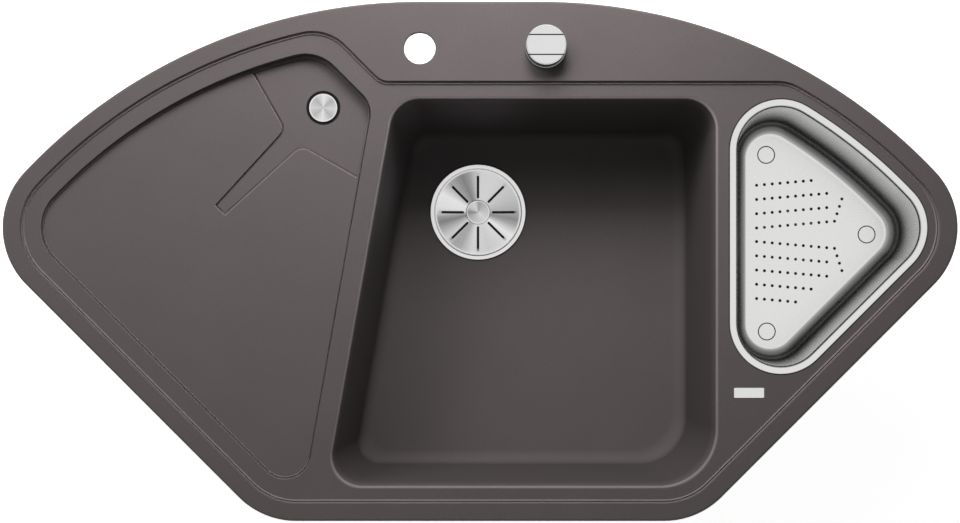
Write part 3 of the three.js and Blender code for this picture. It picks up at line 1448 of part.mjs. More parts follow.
function place(name, manifold, material, parent = assembly) {
  const mesh = new THREE.Mesh(geometryOf(manifold), material);
  mesh.name = name;
  parent.add(mesh);
}

place("sink_body", sinkBody(), granite);
place("colander", colander(), steel);

place("outlet_flange", outletFlange(), steel);
place("outlet_seal", outletSeal(), rubber);
place("outlet_nut", outletNut(), greyPlastic);
place("strainer_disc", strainerDisc(), steel);
place("strainer_button", strainerButton(), steel);
place("strainer_plug", plugBody(), blackPlastic);
place("strainer_seal", plugSeal(), rubber);
place("lift_pin", liftPin(), steel);
place("lift_lever", liftLever(), blackPlastic);
place("waste_body", wasteBody(), greyPlastic);
place("cable_gland", cableGland(), blackPlastic);

place("control_knob", knob(), satin);
place("control_rosette", rosette(), satin);
place("control_shaft", shaft(), steel);
place("control_drum", drum(), blackPlastic);
place("control_case", controlCase(), blackPlastic);
place("control_cover", caseCover(), blackPlastic);
place("control_washer", deckWasher(), rubber);
place("control_nut", deckNut(), blackPlastic);

place("overflow_cover", overflowCover(), steel);
place("overflow_insert", overflowInsert(), blackPlastic);
place("overflow_seal", overflowSeal(), rubber);
place("overflow_coupling", overflowCoupling(), greyPlastic);
place("overflow_pipe", overflowPipe(), greyPlastic);
place("overflow_nut_upper",
  unionNut(OVERFLOW_PIPE).rotate([180, 0, 0])
    .translate([OVERFLOW.x, OVERFLOW.y, couplingEnd]), greyPlastic);
place("overflow_nut_lower",
  laid(unionNut(OVERFLOW_PIPE), towardsOverflow(SPOUT_REACH),
    OVERFLOW_PIPE_Z, overflowAngle), greyPlastic);

place("side_flange", sideFlange(), steel);
place("side_seal", sideSeal(), rubber);
place("side_strainer", sideStrainer(), steel);
place("side_waste", sideWaste(), greyPlastic);
place("side_pipe", sidePipe(), greyPlastic);
place("main_pipe", mainPipe(), greyPlastic);
place("main_pipe_nut",
  laid(unionNut(PIPE_RADIUS), { x: OUTLET.x, y: OUTLET.y + SPOUT_REACH }, PIPE_Z, 90),
  greyPlastic);
place("side_pipe_nut",
  laid(unionNut(PIPE_RADIUS), { x: SIDE_OUTLET.x, y: SIDE_OUTLET.y + SPOUT_REACH }, PIPE_Z, 90),
  greyPlastic);
place("waste_tee", wasteTee(), greyPlastic);

for (const [where, { x, y, out }] of Object.entries(clampPlaces)) {
  const holder = new THREE.Group();
  holder.position.set(x, y, 0);
  holder.rotation.z = out * RAD;
  assembly.add(holder);
  place("clamp_" + where, clamp(), zinc, holder);
  place("clamp_screw_" + where, clampScrew(), zinc, holder);
}

export default sink;
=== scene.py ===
"""Looks of a corner kitchen sink: a moulded granite body with a tap deck, a drainer and two bowls,
a steel colander over the corner bowl, outlet fittings, and the pipework and clamps below it.
Lengths are millimetres until a mesh is made, with y = 0 at the front edge and z = 0 on the worktop."""

from math import acos, asin, atan2, ceil, cos, hypot, pi, radians, sin, sqrt, tan

import bpy
from mathutils import Matrix, Vector

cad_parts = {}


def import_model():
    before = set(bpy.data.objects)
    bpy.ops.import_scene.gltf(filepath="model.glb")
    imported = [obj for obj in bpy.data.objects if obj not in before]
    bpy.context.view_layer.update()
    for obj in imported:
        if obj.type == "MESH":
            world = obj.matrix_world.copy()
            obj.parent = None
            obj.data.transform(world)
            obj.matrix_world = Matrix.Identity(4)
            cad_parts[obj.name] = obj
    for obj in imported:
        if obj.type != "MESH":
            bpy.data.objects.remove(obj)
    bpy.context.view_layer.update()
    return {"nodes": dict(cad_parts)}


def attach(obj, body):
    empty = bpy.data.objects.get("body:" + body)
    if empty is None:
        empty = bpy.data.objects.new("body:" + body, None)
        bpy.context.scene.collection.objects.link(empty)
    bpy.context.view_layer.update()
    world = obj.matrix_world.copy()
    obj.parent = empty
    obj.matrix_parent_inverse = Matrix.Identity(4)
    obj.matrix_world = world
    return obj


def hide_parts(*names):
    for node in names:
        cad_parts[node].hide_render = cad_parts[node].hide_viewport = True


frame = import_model()

MM = 0.001
SEAT = 11  # the seat point lies this far behind the front edge
PAST = 5  # how far a cutter reaches past what it cuts
CHORD = 0.03  # how far an outline's straight edges may stray from its curve
SHARP = 32  # degrees between two faces that keep a sharp edge

TOP = 8
LAND = 3
WALL = 9
LAND_UNDER = LAND - WALL
MASS_UNDER = LAND_UNDER + 3  # pieces of the body overlap up to here
MAIN_FLOOR = -184
SIDE_FLOOR = -122
COLANDER_FLOOR = -87
TAP = (-66.8, 523.1)
KNOB = (72.5, 523.4)
OVERFLOW = (-174.8, 459.3)
OUTLET = (-3, 356)
SIDE_OUTLET = (360, 318)
AXIS = (0, 0)


# ---- Meshes ----
def around(count):
    return [(k, (k + 1) % count) for k in range(count)]


def polar(at, radius, angle):
    return (at[0] + radius * cos(angle), at[1] + radius * sin(angle))


def turned_about(at, u, v, angle):
    """A point u ahead and v to the left of another, along a direction."""
    return (at[0] + u * cos(angle) - v * sin(angle), at[1] + u * sin(angle) + v * cos(angle))


def linked(name, data):
    obj = bpy.data.objects.new(name, data)
    bpy.context.scene.collection.objects.link(obj)
    return obj


def object_of(name, verts, faces):
    mesh = bpy.data.meshes.new(name)
    mesh.from_pydata([(x * MM, (y - SEAT) * MM, z * MM) for x, y, z in verts], [], faces)
    return linked(name, mesh)


def loft(name, rings):
    """A closed solid through rings of equal counts, whose first cap looks down and last looks up."""
    count = len(rings[0])
    faces = [
        (r * count + k, r * count + n, (r + 1) * count + n, (r + 1) * count + k)
        for r in range(len(rings) - 1)
        for k, n in around(count)
    ]
    last = (len(rings) - 1) * count
    faces += [tuple(reversed(range(count))), tuple(range(last, last + count))]
    return object_of(name, [p for ring in rings for p in ring], faces)


def lathe(name, profile, at=AXIS, sides=96):
    """A solid of revolution about an upright axis: its profile is a closed run of (radius, z)."""
    run = list(profile)
    if sum(r * after[1] - after[0] * z for (r, z), after in zip(run, run[1:] + run[:1])) <= 0:
        run.reverse()
    verts, rows = [], []
    for r, z in run:
        if r < 1e-6:
            rows.append([len(verts)] * sides)
            verts.append((at[0], at[1], z))
        else:
            rows.append(list(range(len(verts), len(verts) + sides)))
            verts += [(*polar(at, r, 2 * pi * k / sides), z) for k in range(sides)]
    faces = []
    for row, above in zip(rows, rows[1:] + rows[:1]):
        for k, n in around(sides):
            corners = [row[k], row[n], above[n], above[k]]
            face = [c for j, c in enumerate(corners) if c != corners[j - 1]]
            if len(face) > 2 and len(set(face)) == len(face):
                faces.append(tuple(face))
    return object_of(name, verts, faces)


def block(name, low, high):
    corners = [(x, y, z) for z in (low[2], high[2]) for y in (low[1], high[1]) for x in (low[0], high[0])]
    faces = [(0, 2, 3, 1), (4, 5, 7, 6), (0, 1, 5, 4), (2, 6, 7, 3), (0, 4, 6, 2), (1, 3, 7, 5)]
    return object_of(name, corners, faces)


def cylinder(radius, low, high):
    return [(0, low), (radius, low), (radius, high), (0, high)]


def rod(radius, low, high, at=AXIS, sides=64):
    return lathe("rod", cylinder(radius, low, high), at, sides)


def moved(obj, at, z, turn):
    """Turns a piece that was made about the upright axis at (0, 0), and takes it to a point."""
    centred = Matrix.Translation(Vector((0, SEAT, 0)) * MM)
    there = Matrix.Translation(Vector((at[0], at[1] - SEAT, z)) * MM)
    obj.data.transform(there @ turn @ centred)
    return obj


def placed(obj, x, y, out):
    """Takes a piece made with x pointing out to a place, and points it along a level direction."""
    spin = Matrix.Rotation(radians(out), 4, "Z") @ Matrix.Translation((0, SEAT * MM, 0))
    obj.data.transform(Matrix.Translation((x * MM, (y - SEAT) * MM, 0)) @ spin)
    return obj


def laid(obj, at, z, degrees):
    """Lays an upright piece along a level direction."""
    spin = Matrix.Rotation(radians(degrees), 4, "Z") @ Matrix.Rotation(radians(90), 4, "Y")
    return moved(obj, at, z, spin)


def shaped(obj, operation, others):
    """The piece joined with, or cut by, the others, which are used up."""
    for other in others:
        step = obj.modifiers.new("shape", "BOOLEAN")
        step.operation = operation
        step.object = other
        step.solver = "MANIFOLD"
    graph = bpy.context.evaluated_depsgraph_get()
    made = bpy.data.meshes.new_from_object(obj.evaluated_get(graph))
    obj.modifiers.clear()
    obj.data = made
    for other in others:
        bpy.data.objects.remove(other)
    return obj


def cut(obj, *others):
    return shaped(obj, "DIFFERENCE", others)


def joined(obj, *others):
    return shaped(obj, "UNION", others)


def together(name, objects):
    """One mesh of pieces that don't touch."""
    verts, faces = [], []
    for obj in objects:
        start = len(verts)
        verts += [(v.co.x / MM, v.co.y / MM + SEAT, v.co.z / MM) for v in obj.data.vertices]
        faces += [tuple(start + i for i in p.vertices) for p in obj.data.polygons]
        bpy.data.objects.remove(obj)
    return object_of(name, verts, faces)


def dressed(obj, slot, *nodes, body="sink", material=None):
    """Gives a finished piece its shading, its material and its place in the model."""
    obj.data.materials.clear()
    obj.data.materials.append(material or MATERIALS[slot])
    obj.data.shade_smooth()
    obj.data.set_sharp_from_angle(angle=radians(SHARP))
    normals = obj.modifiers.new("normals", "WEIGHTED_NORMAL")
    normals.keep_sharp = True
    normals.weight = 70
    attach(obj, body)
    if nodes:
        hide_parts(*nodes)


# ---- Profiles ----
def shares(steps):
    return [k / steps for k in range(steps + 1)]


def quarter(steps):
    """A quarter turn as pairs: the share gone across, from 0 to 1, and the share left to rise, from 1 to 0."""
    return [(1 - cos(t * pi / 2), 1 - sin(t * pi / 2)) for t in shares(steps)]


def raised(level, points):
    return [(r, level + z) for r, z in points]


def wave(t):
    return (1 + cos(pi * t)) / 2


def smooth_step(t, start, end):
    return 1 - wave(min(1, max(0, (t - start) / (end - start))))


def rounded_edge(inset, top, radius, steps=6):
    return [(inset - radius * a, top - radius * b) for a, b in quarter(steps)[1:]]


def corner_arc(x, z, radius):
    """From the underside round to the side, about the centre (x, z)."""
    return [(x + radius * sin(t * pi / 2), z - radius * cos(t * pi / 2)) for t in shares(6)]


def washer(inner, outer, low, high, edge=0.4):
    """A flat ring whose outer edges are broken."""
    side = [(outer - edge, low), (outer, low + edge), (outer, high - edge), (outer - edge, high)]
    return [(inner, low)] + side + [(inner, high)]


def bowl_section(top, floor, draft, fillet, inset=0.0, steps=10):
    """From the floor's edge through the fillet to the top, as (inset, z)."""
    slope = tan(radians(draft))
    centre_z = floor + fillet
    meet = centre_z - fillet * sin(radians(draft))
    centre_in = inset + (top - meet) * slope + fillet * cos(radians(draft))
    bend = []
    for t in shares(steps):
        angle = radians(90 - (90 - draft) * t)
        bend.append((centre_in - fillet * cos(angle), centre_z - fillet * sin(angle)))
    return bend + [(inset, top)]


# ---- Outlines: belts round circles (x, y, r, size) ----
def circle(x, y, r, size=None):
    return (x, y, r, size or abs(r))


def direction_out(angle):
    return sin(angle), -cos(angle)


def belt_angle(a, b):
    dx, dy = b[0] - a[0], b[1] - a[1]
    return atan2(dy, dx) + asin(max(-1, min(1, (a[2] - b[2]) / hypot(dx, dy))))


def belt_angles(circles, i):
    """The belt's directions as it reaches a circle and as it leaves it."""
    return belt_angle(circles[i - 1], circles[i]), belt_angle(circles[i], circles[(i + 1) % len(circles)])


def belt(circles, inset=0.0):
    points = []
    for i, (x, y, r, size) in enumerate(circles):
        before, after = belt_angles(circles, i)
        way = 1 if r > 0 else -1
        sweep = (way * (after - before)) % (2 * pi) * way
        steps = ceil(abs(sweep) / (2 * acos(1 - CHORD / size)))
        for k in range(steps + 1):
            ox, oy = direction_out(before + sweep * k / steps)
            points.append((x + (r - inset) * ox, y + (r - inset) * oy))
    return points


def line(x, y, degrees, inset=0.0):
    ax, ay = cos(radians(degrees)), sin(radians(degrees))
    return (ax, ay, -ay * x + ax * y + inset)


def line_from(c, degrees):
    ox, oy = direction_out(radians(degrees))
    return line(c[0] + c[2] * ox, c[1] + c[2] * oy, degrees)


def shifted(a, inset):
    return (a[0], a[1], a[2] + inset)


def shrunk(circles, inset):
    return [circle(x, y, r - inset) for x, y, r, _ in circles]


def between_lines(a, b, r, size=None):
    aix, aiy, bix, biy = -a[1], a[0], -b[1], b[0]
    det = aix * biy - aiy * bix
    ca, cb = a[2] + r, b[2] + r
    return circle((ca * biy - cb * aiy) / det, (aix * cb - bix * ca) / det, r, size)


def in_circle(large, a, r, way):
    ix, iy = -a[1], a[0]
    across = a[2] + r - (ix * large[0] + iy * large[1])
    along = way * sqrt((large[2] - r) ** 2 - across**2)
    return circle(large[0] + ix * across + a[0] * along, large[1] + iy * across + a[1] * along, r)


def ring(circles, inset, z):
    return [(x, y, z(x, y) if callable(z) else z) for x, y in belt(circles, inset)]


def stack(name, circles, levels):
    """A solid through an outline at several (inset, height) pairs; a height may be a function of x and y."""
    return loft(name, [ring(circles, inset, z) for inset, z in levels])


def prism(name, circles, inset, low, high):
    return stack(name, circles, [(inset, low), (inset, high)])


# ---- The body's outlines ----
BACK_RADIUS = 600
CORNER = 90
SIDE_X = 1057 / 2 - CORNER
ARC_X = 135 / 2
ARC_Y = 575 - BACK_RADIUS
SIDE_Y = ARC_Y + sqrt((BACK_RADIUS - CORNER) ** 2 - (SIDE_X - ARC_X) ** 2)
FRONT_X = SIDE_X - (SIDE_Y - CORNER)

back_right = circle(ARC_X, ARC_Y, BACK_RADIUS)
back_left = circle(-ARC_X, ARC_Y, BACK_RADIUS)
outline = [
    circle(FRONT_X, CORNER, CORNER),
    circle(SIDE_X, SIDE_Y, CORNER),
    back_right,
    back_left,
    circle(-SIDE_X, SIDE_Y, CORNER),
    circle(-FRONT_X, CORNER, CORNER),
]

deck_line = line(-109.8, 485.3, 180)
slant_line = line(-109.8, 485.3, 135)
step = shrunk(outline, 21.2)
land = step[:3] + [
    in_circle(step[2], deck_line, 50, -1),
    between_lines(deck_line, slant_line, -22),
    in_circle(step[3], slant_line, 50, 1),
] + step[3:]

MAIN_BACK, MAIN_RIGHT, MAIN_CORNER_X = 467, 261, -94.5
main_lines = [
    line(0, 39, 0),
    line(MAIN_RIGHT, 0, 90),
    line(0, MAIN_BACK, 180),
    line(MAIN_CORNER_X, MAIN_BACK, 260),
]


def main_circles(inset):
    """The main bowl's outline at an inset: its corners tighten as it narrows."""
    sides = [shifted(side, inset) for side in main_lines]
    return [
        between_lines(sides[i], sides[(i + 1) % 4], size - inset * 0.35, size)
        for i, size in enumerate([63, 33, 33, 33])
    ]


drainer_right = line(MAIN_CORNER_X - 24 / cos(radians(10)), MAIN_BACK, 80)
drainer_slant = shifted(slant_line, 24.2)
in_drainer = shrunk(outline, 42.5)
drainer = [
    between_lines(line_from(in_drainer[4], -45), drainer_right, 28),
    between_lines(drainer_right, drainer_slant, 30),
    in_circle(in_drainer[3], drainer_slant, 44, 1),
    in_drainer[3],
    in_drainer[4],
]

colander_left = line(276.3, 0, 270)
in_colander = shrunk(outline, 32.9)
corner_bowl = [
    between_lines(colander_left, line_from(in_colander[1], 45), 57),
    in_colander[1],
    in_colander[2],
    in_circle(in_colander[2], colander_left, 57, -1),
]

DRAINER_DEPTH = 11
FALL = 0.0165


def drainer_floor(x, y):
    """Falls towards the overflow."""
    reach = (OVERFLOW[0] - x) * cos(radians(53)) + (OVERFLOW[1] - y) * sin(radians(53))
    return LAND - DRAINER_DEPTH + FALL * reach


# ---- The body ----
RECESS_STEPS = 50


def rim_plate():
    return stack("granite_body", outline, [(0, 0)] + [(3 * a, TOP - 3 * b) for a, b in quarter(8)])


def double_rise(t):
    """A small step, a groove and a taller step up to the rim."""
    first, groove, second = smooth_step(t, 0.25, 0.37), smooth_step(t, 0.39, 0.47), smooth_step(t, 0.49, 0.68)
    return 0.36 * first - 0.2 * groove + 0.84 * second


def stepped_recess(name, circles, width, low, high):
    """A recess whose wall steps from a floor, level or sloping, up to a level."""
    def at(t):
        def z(x, y):
            base = low(x, y) if callable(low) else low
            return base + (high - base) * double_rise(t)
        return z
    wall = [(width * (0.5 - t), at(t)) for t in shares(RECESS_STEPS)]
    return stack(name, circles, wall + [(-width / 2, high + PAST)])


CHANNEL_REACH = 162
CHANNEL_WIDTH = 1.5


def channel_circles():
    """The channel's outline: a stem that runs to the front left, and two arms that splay from its root."""
    reach, root, stem, tip, corner = 170, 47.5, 13.2, 7.8, 2.5
    splayed = root - (reach - stem) * tan(radians(15.5))
    points = [
        (-reach, reach, corner),
        (-reach, -reach, corner),
        (splayed, -reach, corner),
        (root, -stem, -13),
        (CHANNEL_REACH, -tip, 1.5),
        (CHANNEL_REACH, tip, 1.5),
        (root, stem, -13),
        (splayed, reach, corner),
    ]
    spots = [turned_about(OVERFLOW, u, v, radians(225)) for u, v, _ in points]
    sides = [line(*a, atan2(b[1] - a[1], b[0] - a[0]) * 180 / pi) for a, b in zip(spots, spots[1:] + spots[:1])]
    return [between_lines(sides[i - 1], sides[i], p[2]) for i, p in enumerate(points)]


def in_channel(x, y):
    """How far a point is along the channel, and how far to one side."""
    right, back = x - OVERFLOW[0], y - OVERFLOW[1]
    return -(right + back) * sqrt(0.5), (right - back) * sqrt(0.5)


def channel_recess():
    """Shallower towards the stem's tip, with a fine groove along its foot that is deeper on its left."""
    circles = channel_circles()

    def at(t):
        def z(x, y):
            return drainer_floor(x, y) - (2.9 - 1.7 * in_channel(x, y)[0] / CHANNEL_REACH) * wave(t)
        return z
    wall = [(CHANNEL_WIDTH * (0.5 - t), at(t)) for t in shares(5)]
    groove = stack("channel", circles, wall + [(-CHANNEL_WIDTH / 2, LAND)])
    low = at(0)

    def moat_floor(x, y):
        along, across = in_channel(x, y)
        return low(x, y) - 2 + smooth_step(across, -5, 5) * (0.9 + smooth_step(along, 10, 60))
    moat = prism("moat", circles, 0.1, moat_floor, LAND)
    groove = joined(groove, cut(moat, prism("core", circles, 2.1, -25, 10)))
    return shaped(groove, "INTERSECT", [prism("within", drainer, 3.2, -25, 10)])


def falling_floor(edge, centre, radius, z, rows=7):
    """Rings of a floor that falls from its edge to a level ring round its outlet."""
    inner = [(*polar(centre, radius, atan2(y - centre[1], x - centre[0])), z) for x, y, _ in edge]
    return [
        [
            (a[0] + (b[0] - a[0]) * t, a[1] + (b[1] - a[1]) * t, a[2] + (b[2] - a[2]) * t * t * (2 - t))
            for a, b in zip(inner, edge)
        ]
        for t in shares(rows)[:-1]
    ]


FLOOR_FALL = 2.5
MAIN_DRAFT, MAIN_FILLET, MAIN_EDGE = 5.3, 17, 4
SIDE_DRAFT, SIDE_FILLET, SIDE_INSET, LEDGE = 4, 16, 4.5, 0.8


def main_cavity():
    section = bowl_section(LAND - MAIN_EDGE, MAIN_FLOOR + FLOOR_FALL, MAIN_DRAFT, MAIN_FILLET)
    section += rounded_edge(0, LAND, MAIN_EDGE, 8) + [(-MAIN_EDGE, LAND + PAST)]
    rings = [ring(main_circles(i), 0, z) for i, z in section]
    return loft("main_cavity", falling_floor(rings[0], OUTLET, 62, MAIN_FLOOR) + rings)


def main_outside():
    lean = (LAND - MAIN_EDGE - MASS_UNDER) * tan(radians(MAIN_DRAFT))
    section = bowl_section(MASS_UNDER, MAIN_FLOOR - WALL, MAIN_DRAFT, MAIN_FILLET + WALL, lean - WALL, 8)
    return loft("main_outside", [ring(main_circles(i), 0, z) for i, z in section])


def side_cavity():
    section = bowl_section(LEDGE, SIDE_FLOOR + FLOOR_FALL, SIDE_DRAFT, SIDE_FILLET, SIDE_INSET, 8)
    rings = [ring(corner_bowl, i, z) for i, z in section + [(SIDE_INSET, LEDGE + PAST)]]
    return loft("side_cavity", falling_floor(rings[0], SIDE_OUTLET, 40, SIDE_FLOOR, 4) + rings)


def side_outside():
    fillet, inset = SIDE_FILLET + WALL / 2, SIDE_INSET - WALL
    section = bowl_section(MASS_UNDER, SIDE_FLOOR - WALL, SIDE_DRAFT, fillet, inset, 8)
    return stack("side_outside", corner_bowl, section)


def hole(at, radius, low, top, soft=0.9):
    """A cutter for a round hole whose upper edge is rounded a little."""
    edge = [(radius + soft * a, top - soft * b) for a, b in quarter(5)]
    return lathe("hole", [(0, low), (radius, low)] + edge + [(radius + soft, top + PAST), (0, top + PAST)], at)


def on_back(c, degrees):
    return (*polar(c, c[2], radians(degrees)), degrees)


def slant_middle(way):
    reach = CORNER * sqrt(0.5)
    out = -45 if way > 0 else -135
    return (way * (FRONT_X + SIDE_X) / 2 + way * reach, (CORNER + SIDE_Y) / 2 - reach, out)


clamp_places = {
    "front_left": (-150, 0, -90),
    "front_right": (150, 0, -90),
    "side_left": slant_middle(-1),
    "side_right": slant_middle(1),
    "back_left": on_back(back_left, 125),
    "back_right": on_back(back_right, 55),
}


def lug():
    body = block("lug", (-28.2, -15, -22), (-17.2, 15, MASS_UNDER))
    pocket = block("pocket", (-25.5, -8.3, -15), (-12.2, 8.3, -11.9))
    return cut(body, pocket)


OVERFLOW_FLOOR = LAND - 13
TAP_RADIUS = 17.5
BOSS_LOW = -28


def sink_body():
    mass = joined(
        rim_plate(),
        prism("land_under", land, -6, LAND_UNDER, LAND - 2.5),
        prism("drainer_under", drainer, -WALL, lambda x, y: drainer_floor(x, y) - WALL, MASS_UNDER),
        main_outside(),
        side_outside(),
        block("web", (MAIN_RIGHT, corner_bowl[0][1], LAND_UNDER - 30), (280.8, corner_bowl[3][1], MASS_UNDER)),
        rod(26, BOSS_LOW, LAND_UNDER - WALL, OVERFLOW, 96),
    )
    body = cut(
        mass,
        stepped_recess("land", land, 10.5, LAND, TOP),
        stepped_recess("drainer", drainer, 7, drainer_floor, LAND),
        channel_recess(),
        main_cavity(),
        prism("ledge", corner_bowl, -0.8, LEDGE, LAND + PAST),
        side_cavity(),
        hole(TAP, TAP_RADIUS, -PAST, TOP),
        hole(KNOB, TAP_RADIUS, -PAST, TOP),
        hole(OVERFLOW, 19, OVERFLOW_FLOOR - 10, OVERFLOW_FLOOR + 0.1, 0.5),
        rod(13, BOSS_LOW - PAST, LAND, OVERFLOW, 96),
        hole(OUTLET, 58.6, MAIN_FLOOR - 2.8, MAIN_FLOOR, 0.5),
        rod(47, MAIN_FLOOR - 27, MAIN_FLOOR, OUTLET, 96),
        rod(36.6, SIDE_FLOOR - 2.8, SIDE_FLOOR + PAST, SIDE_OUTLET, 96),
        rod(26.1, SIDE_FLOOR - 27, SIDE_FLOOR, SIDE_OUTLET, 96),
    )
    return joined(body, *[placed(lug(), *place) for place in clamp_places.values()])


# ---- Colander ----
def perforations():
    """Rows of holes that splay from the left, and a short slanting run at the end of the middle rows."""
    spots = []
    left, middle, pitch, first, apart, splay = 318.1, 322.7, 9, 7.8, 16.4, radians(5)

    def row(index, count, side):
        for k in range(count):
            off = first + index * apart + k * pitch * sin(splay)
            spots.append((left + k * pitch * cos(splay), middle + side * off))
    for side in (-1, 1):
        for index, count in enumerate([11, 10, 10, 8]):
            row(index, count, side)
        end_x = left + 90 * cos(splay)
        end_off = first + 90 * sin(splay)
        for along in (pitch, 2 * pitch, 3 * pitch):
            off = end_off + along * cos(radians(18.4))
            spots.append((end_x + along * sin(radians(18.4)), middle + side * off))
    row(4, 6, -1)
    return spots


def feet_places():
    feet = []
    for i in (0, 1, 3):
        before, after = belt_angles(corner_bowl, i)
        ox, oy = direction_out(before + (after - before) % (2 * pi) / 2)
        feet.append((corner_bowl[i][0] + 7 * ox - 0.8, corner_bowl[i][1] + 7 * oy - 1.8))
    return feet


def colander():
    rim, lip, sheet, floor = LAND + 1.2, 1.1, 1, COLANDER_FLOOR

    def section(grow):
        return bowl_section(rim - 3.2, floor - grow, 5, 16.5 + grow, 9.0 - grow, 14)
    profile = (
        section(sheet)
        + [(6.15, rim - sheet), (sheet, rim - sheet), (sheet, lip), (0, lip), (0, rim - 0.9)]
        + [(0.9 * a, rim - 0.9 * b) for a, b in quarter(4)[1:]]
        + rounded_edge(7.75, rim, 1.2)[::-1]
        + [(7.9, rim - 1.9), (8.6, rim - 2.5)]
        + section(0)[::-1]
    )
    shell = stack("colander_sheet", corner_bowl, profile)
    foot = raised(floor - 4, [(0, 0), (9.8, 0), (10.4, 0.3), (10.8, 1)]) + [(11, floor - 0.5), (0, floor - 0.5)]
    groove = raised(floor, [(9.2, -2.6), (10.2, -2.6), (10.35, 1), (9.05, 1)])
    shell = joined(shell, *[lathe("foot", foot, at, 48) for at in feet_places()])
    shell = cut(shell, *[lathe("foot_groove", groove, at, 48) for at in feet_places()])
    holes = [rod(1.75, floor - 6, floor + 3, at, 18) for at in perforations()]
    return cut(shell, together("holes", holes))


# ---- Materials ----
def linear(colour):
    """An sRGB colour written as three numbers up to 255, as Blender wants it."""
    def one(v):
        v = v / 255
        return v / 12.92 if v <= 0.04045 else ((v + 0.055) / 1.055) ** 2.4
    return tuple(one(v) for v in colour[:3]) + (1.0,)


def grey(v):
    return (v, v, v)


class Nodes:
    """A node tree under construction."""

    def __init__(self, tree):
        self.tree = tree

    def add(self, kind, inputs=None, **settings):
        """A node with its settings, and with each input given a number, a colour or a link."""
        node = self.tree.nodes.new("ShaderNode" + kind)
        for key, value in settings.items():
            setattr(node, key, value)
        for key, value in (inputs or {}).items():
            self.give(node.inputs[key], value)
        return node

    def give(self, socket, value):
        if hasattr(value, "node"):
            self.tree.links.new(value, socket)
        elif socket.type == "RGBA":
            socket.default_value = linear(value)
        else:
            socket.default_value = value

    def maths(self, operation, *values):
        return self.add("Math", dict(enumerate(values)), operation=operation).outputs[0]

    def vector_maths(self, operation, *values):
        return self.add("VectorMath", dict(enumerate(values)), operation=operation).outputs

    def upright(self, vector):
        return self.add("SeparateXYZ", {0: vector}).outputs["Z"]

    def ramp(self, source, stops):
        node = self.add("ValToRGB", {"Fac": source})
        band = node.color_ramp
        for i, (position, colour) in enumerate(stops):
            point = band.elements[i] if i < 2 else band.elements.new(position)
            point.position = position
            point.color = colour if len(colour) == 4 else linear(colour)
        return node.outputs["Color"]

    def levels(self, source, stops):
        """A ramp between plain numbers."""
        return self.ramp(source, [(position, (v, v, v, 1.0)) for position, v in stops])

    def shaded(self, source, colour, change, low=0.3, high=0.7):
        """A ramp from a little under a colour to a little over it."""
        stops = [(low, tuple(v - change for v in colour)), (high, tuple(v + change for v in colour))]
        return self.ramp(source, stops)

    def range(self, source, low, high, start=0.0, end=1.0):
        ends = {"Value": source, "From Min": start, "From Max": end, "To Min": low, "To Max": high}
        return self.add("MapRange", ends).outputs["Result"]

    def mix(self, factor, a, b, blend="MIX"):
        node = self.add("Mix", data_type="RGBA", blend_type=blend)
        colours = [s for s in node.inputs if s.type == "RGBA"]
        for socket, value in zip([node.inputs["Factor"]] + colours, (factor, a, b)):
            self.give(socket, value)
        return [s for s in node.outputs if s.type == "RGBA"][0]

    def seen(self):
        """1 along the rays that see the backdrop: the camera's, reflections and transmission."""
        paths = self.add("LightPath").outputs
        seen = self.maths("MAXIMUM", paths["Is Camera Ray"], paths["Is Glossy Ray"])
        return self.maths("MAXIMUM", seen, paths["Is Transmission Ray"])


class Finish(Nodes):
    """A material under construction, with object-space coordinates to hand."""

    def __init__(self, name, colour, roughness, metallic=0.0):
        self.material = bpy.data.materials.new(name)
        self.material.use_nodes = True
        super().__init__(self.material.node_tree)
        self.shader = self.tree.nodes["Principled BSDF"]
        self.set("Base Color", colour)
        self.set("Roughness", roughness)
        self.set("Metallic", metallic)
        self.place = self.add("TexCoord").outputs["Object"]
        self.height = self.upright(self.place)

    def set(self, name, source):
        self.give(self.shader.inputs[name], source)

    def noise(self, scale, detail=3.0, roughness=0.5, place=None):
        inputs = {"Vector": place or self.place, "Scale": scale, "Detail": detail, "Roughness": roughness}
        return self.add("TexNoise", inputs).outputs["Fac"]

    def spots(self, scale):
        return self.add("TexVoronoi", {"Vector": self.place, "Scale": scale}).outputs["Distance"]

    def brushed(self, scale):
        """A straight stretched grain."""
        mapping = self.add("Mapping", {"Vector": self.place, "Scale": scale})
        return self.noise(1, 3, 0.6, mapping.outputs["Vector"])

    def flatness(self):
        """1 on level faces, 0 on upright ones."""
        normal = self.add("NewGeometry").outputs["Normal"]
        return self.maths("ABSOLUTE", self.upright(normal))

    def finished(self, colour, grain, low, high, strength, distance=0.0002, relief=None):
        """The material, with gloss from low to high and a fine relief that follow its grain."""
        self.set("Base Color", colour)
        self.set("Roughness", self.range(grain, low, high))
        inputs = {"Height": relief or grain, "Strength": strength, "Distance": distance}
        self.set("Normal", self.add("Bump", inputs).outputs["Normal"])
        return self.material


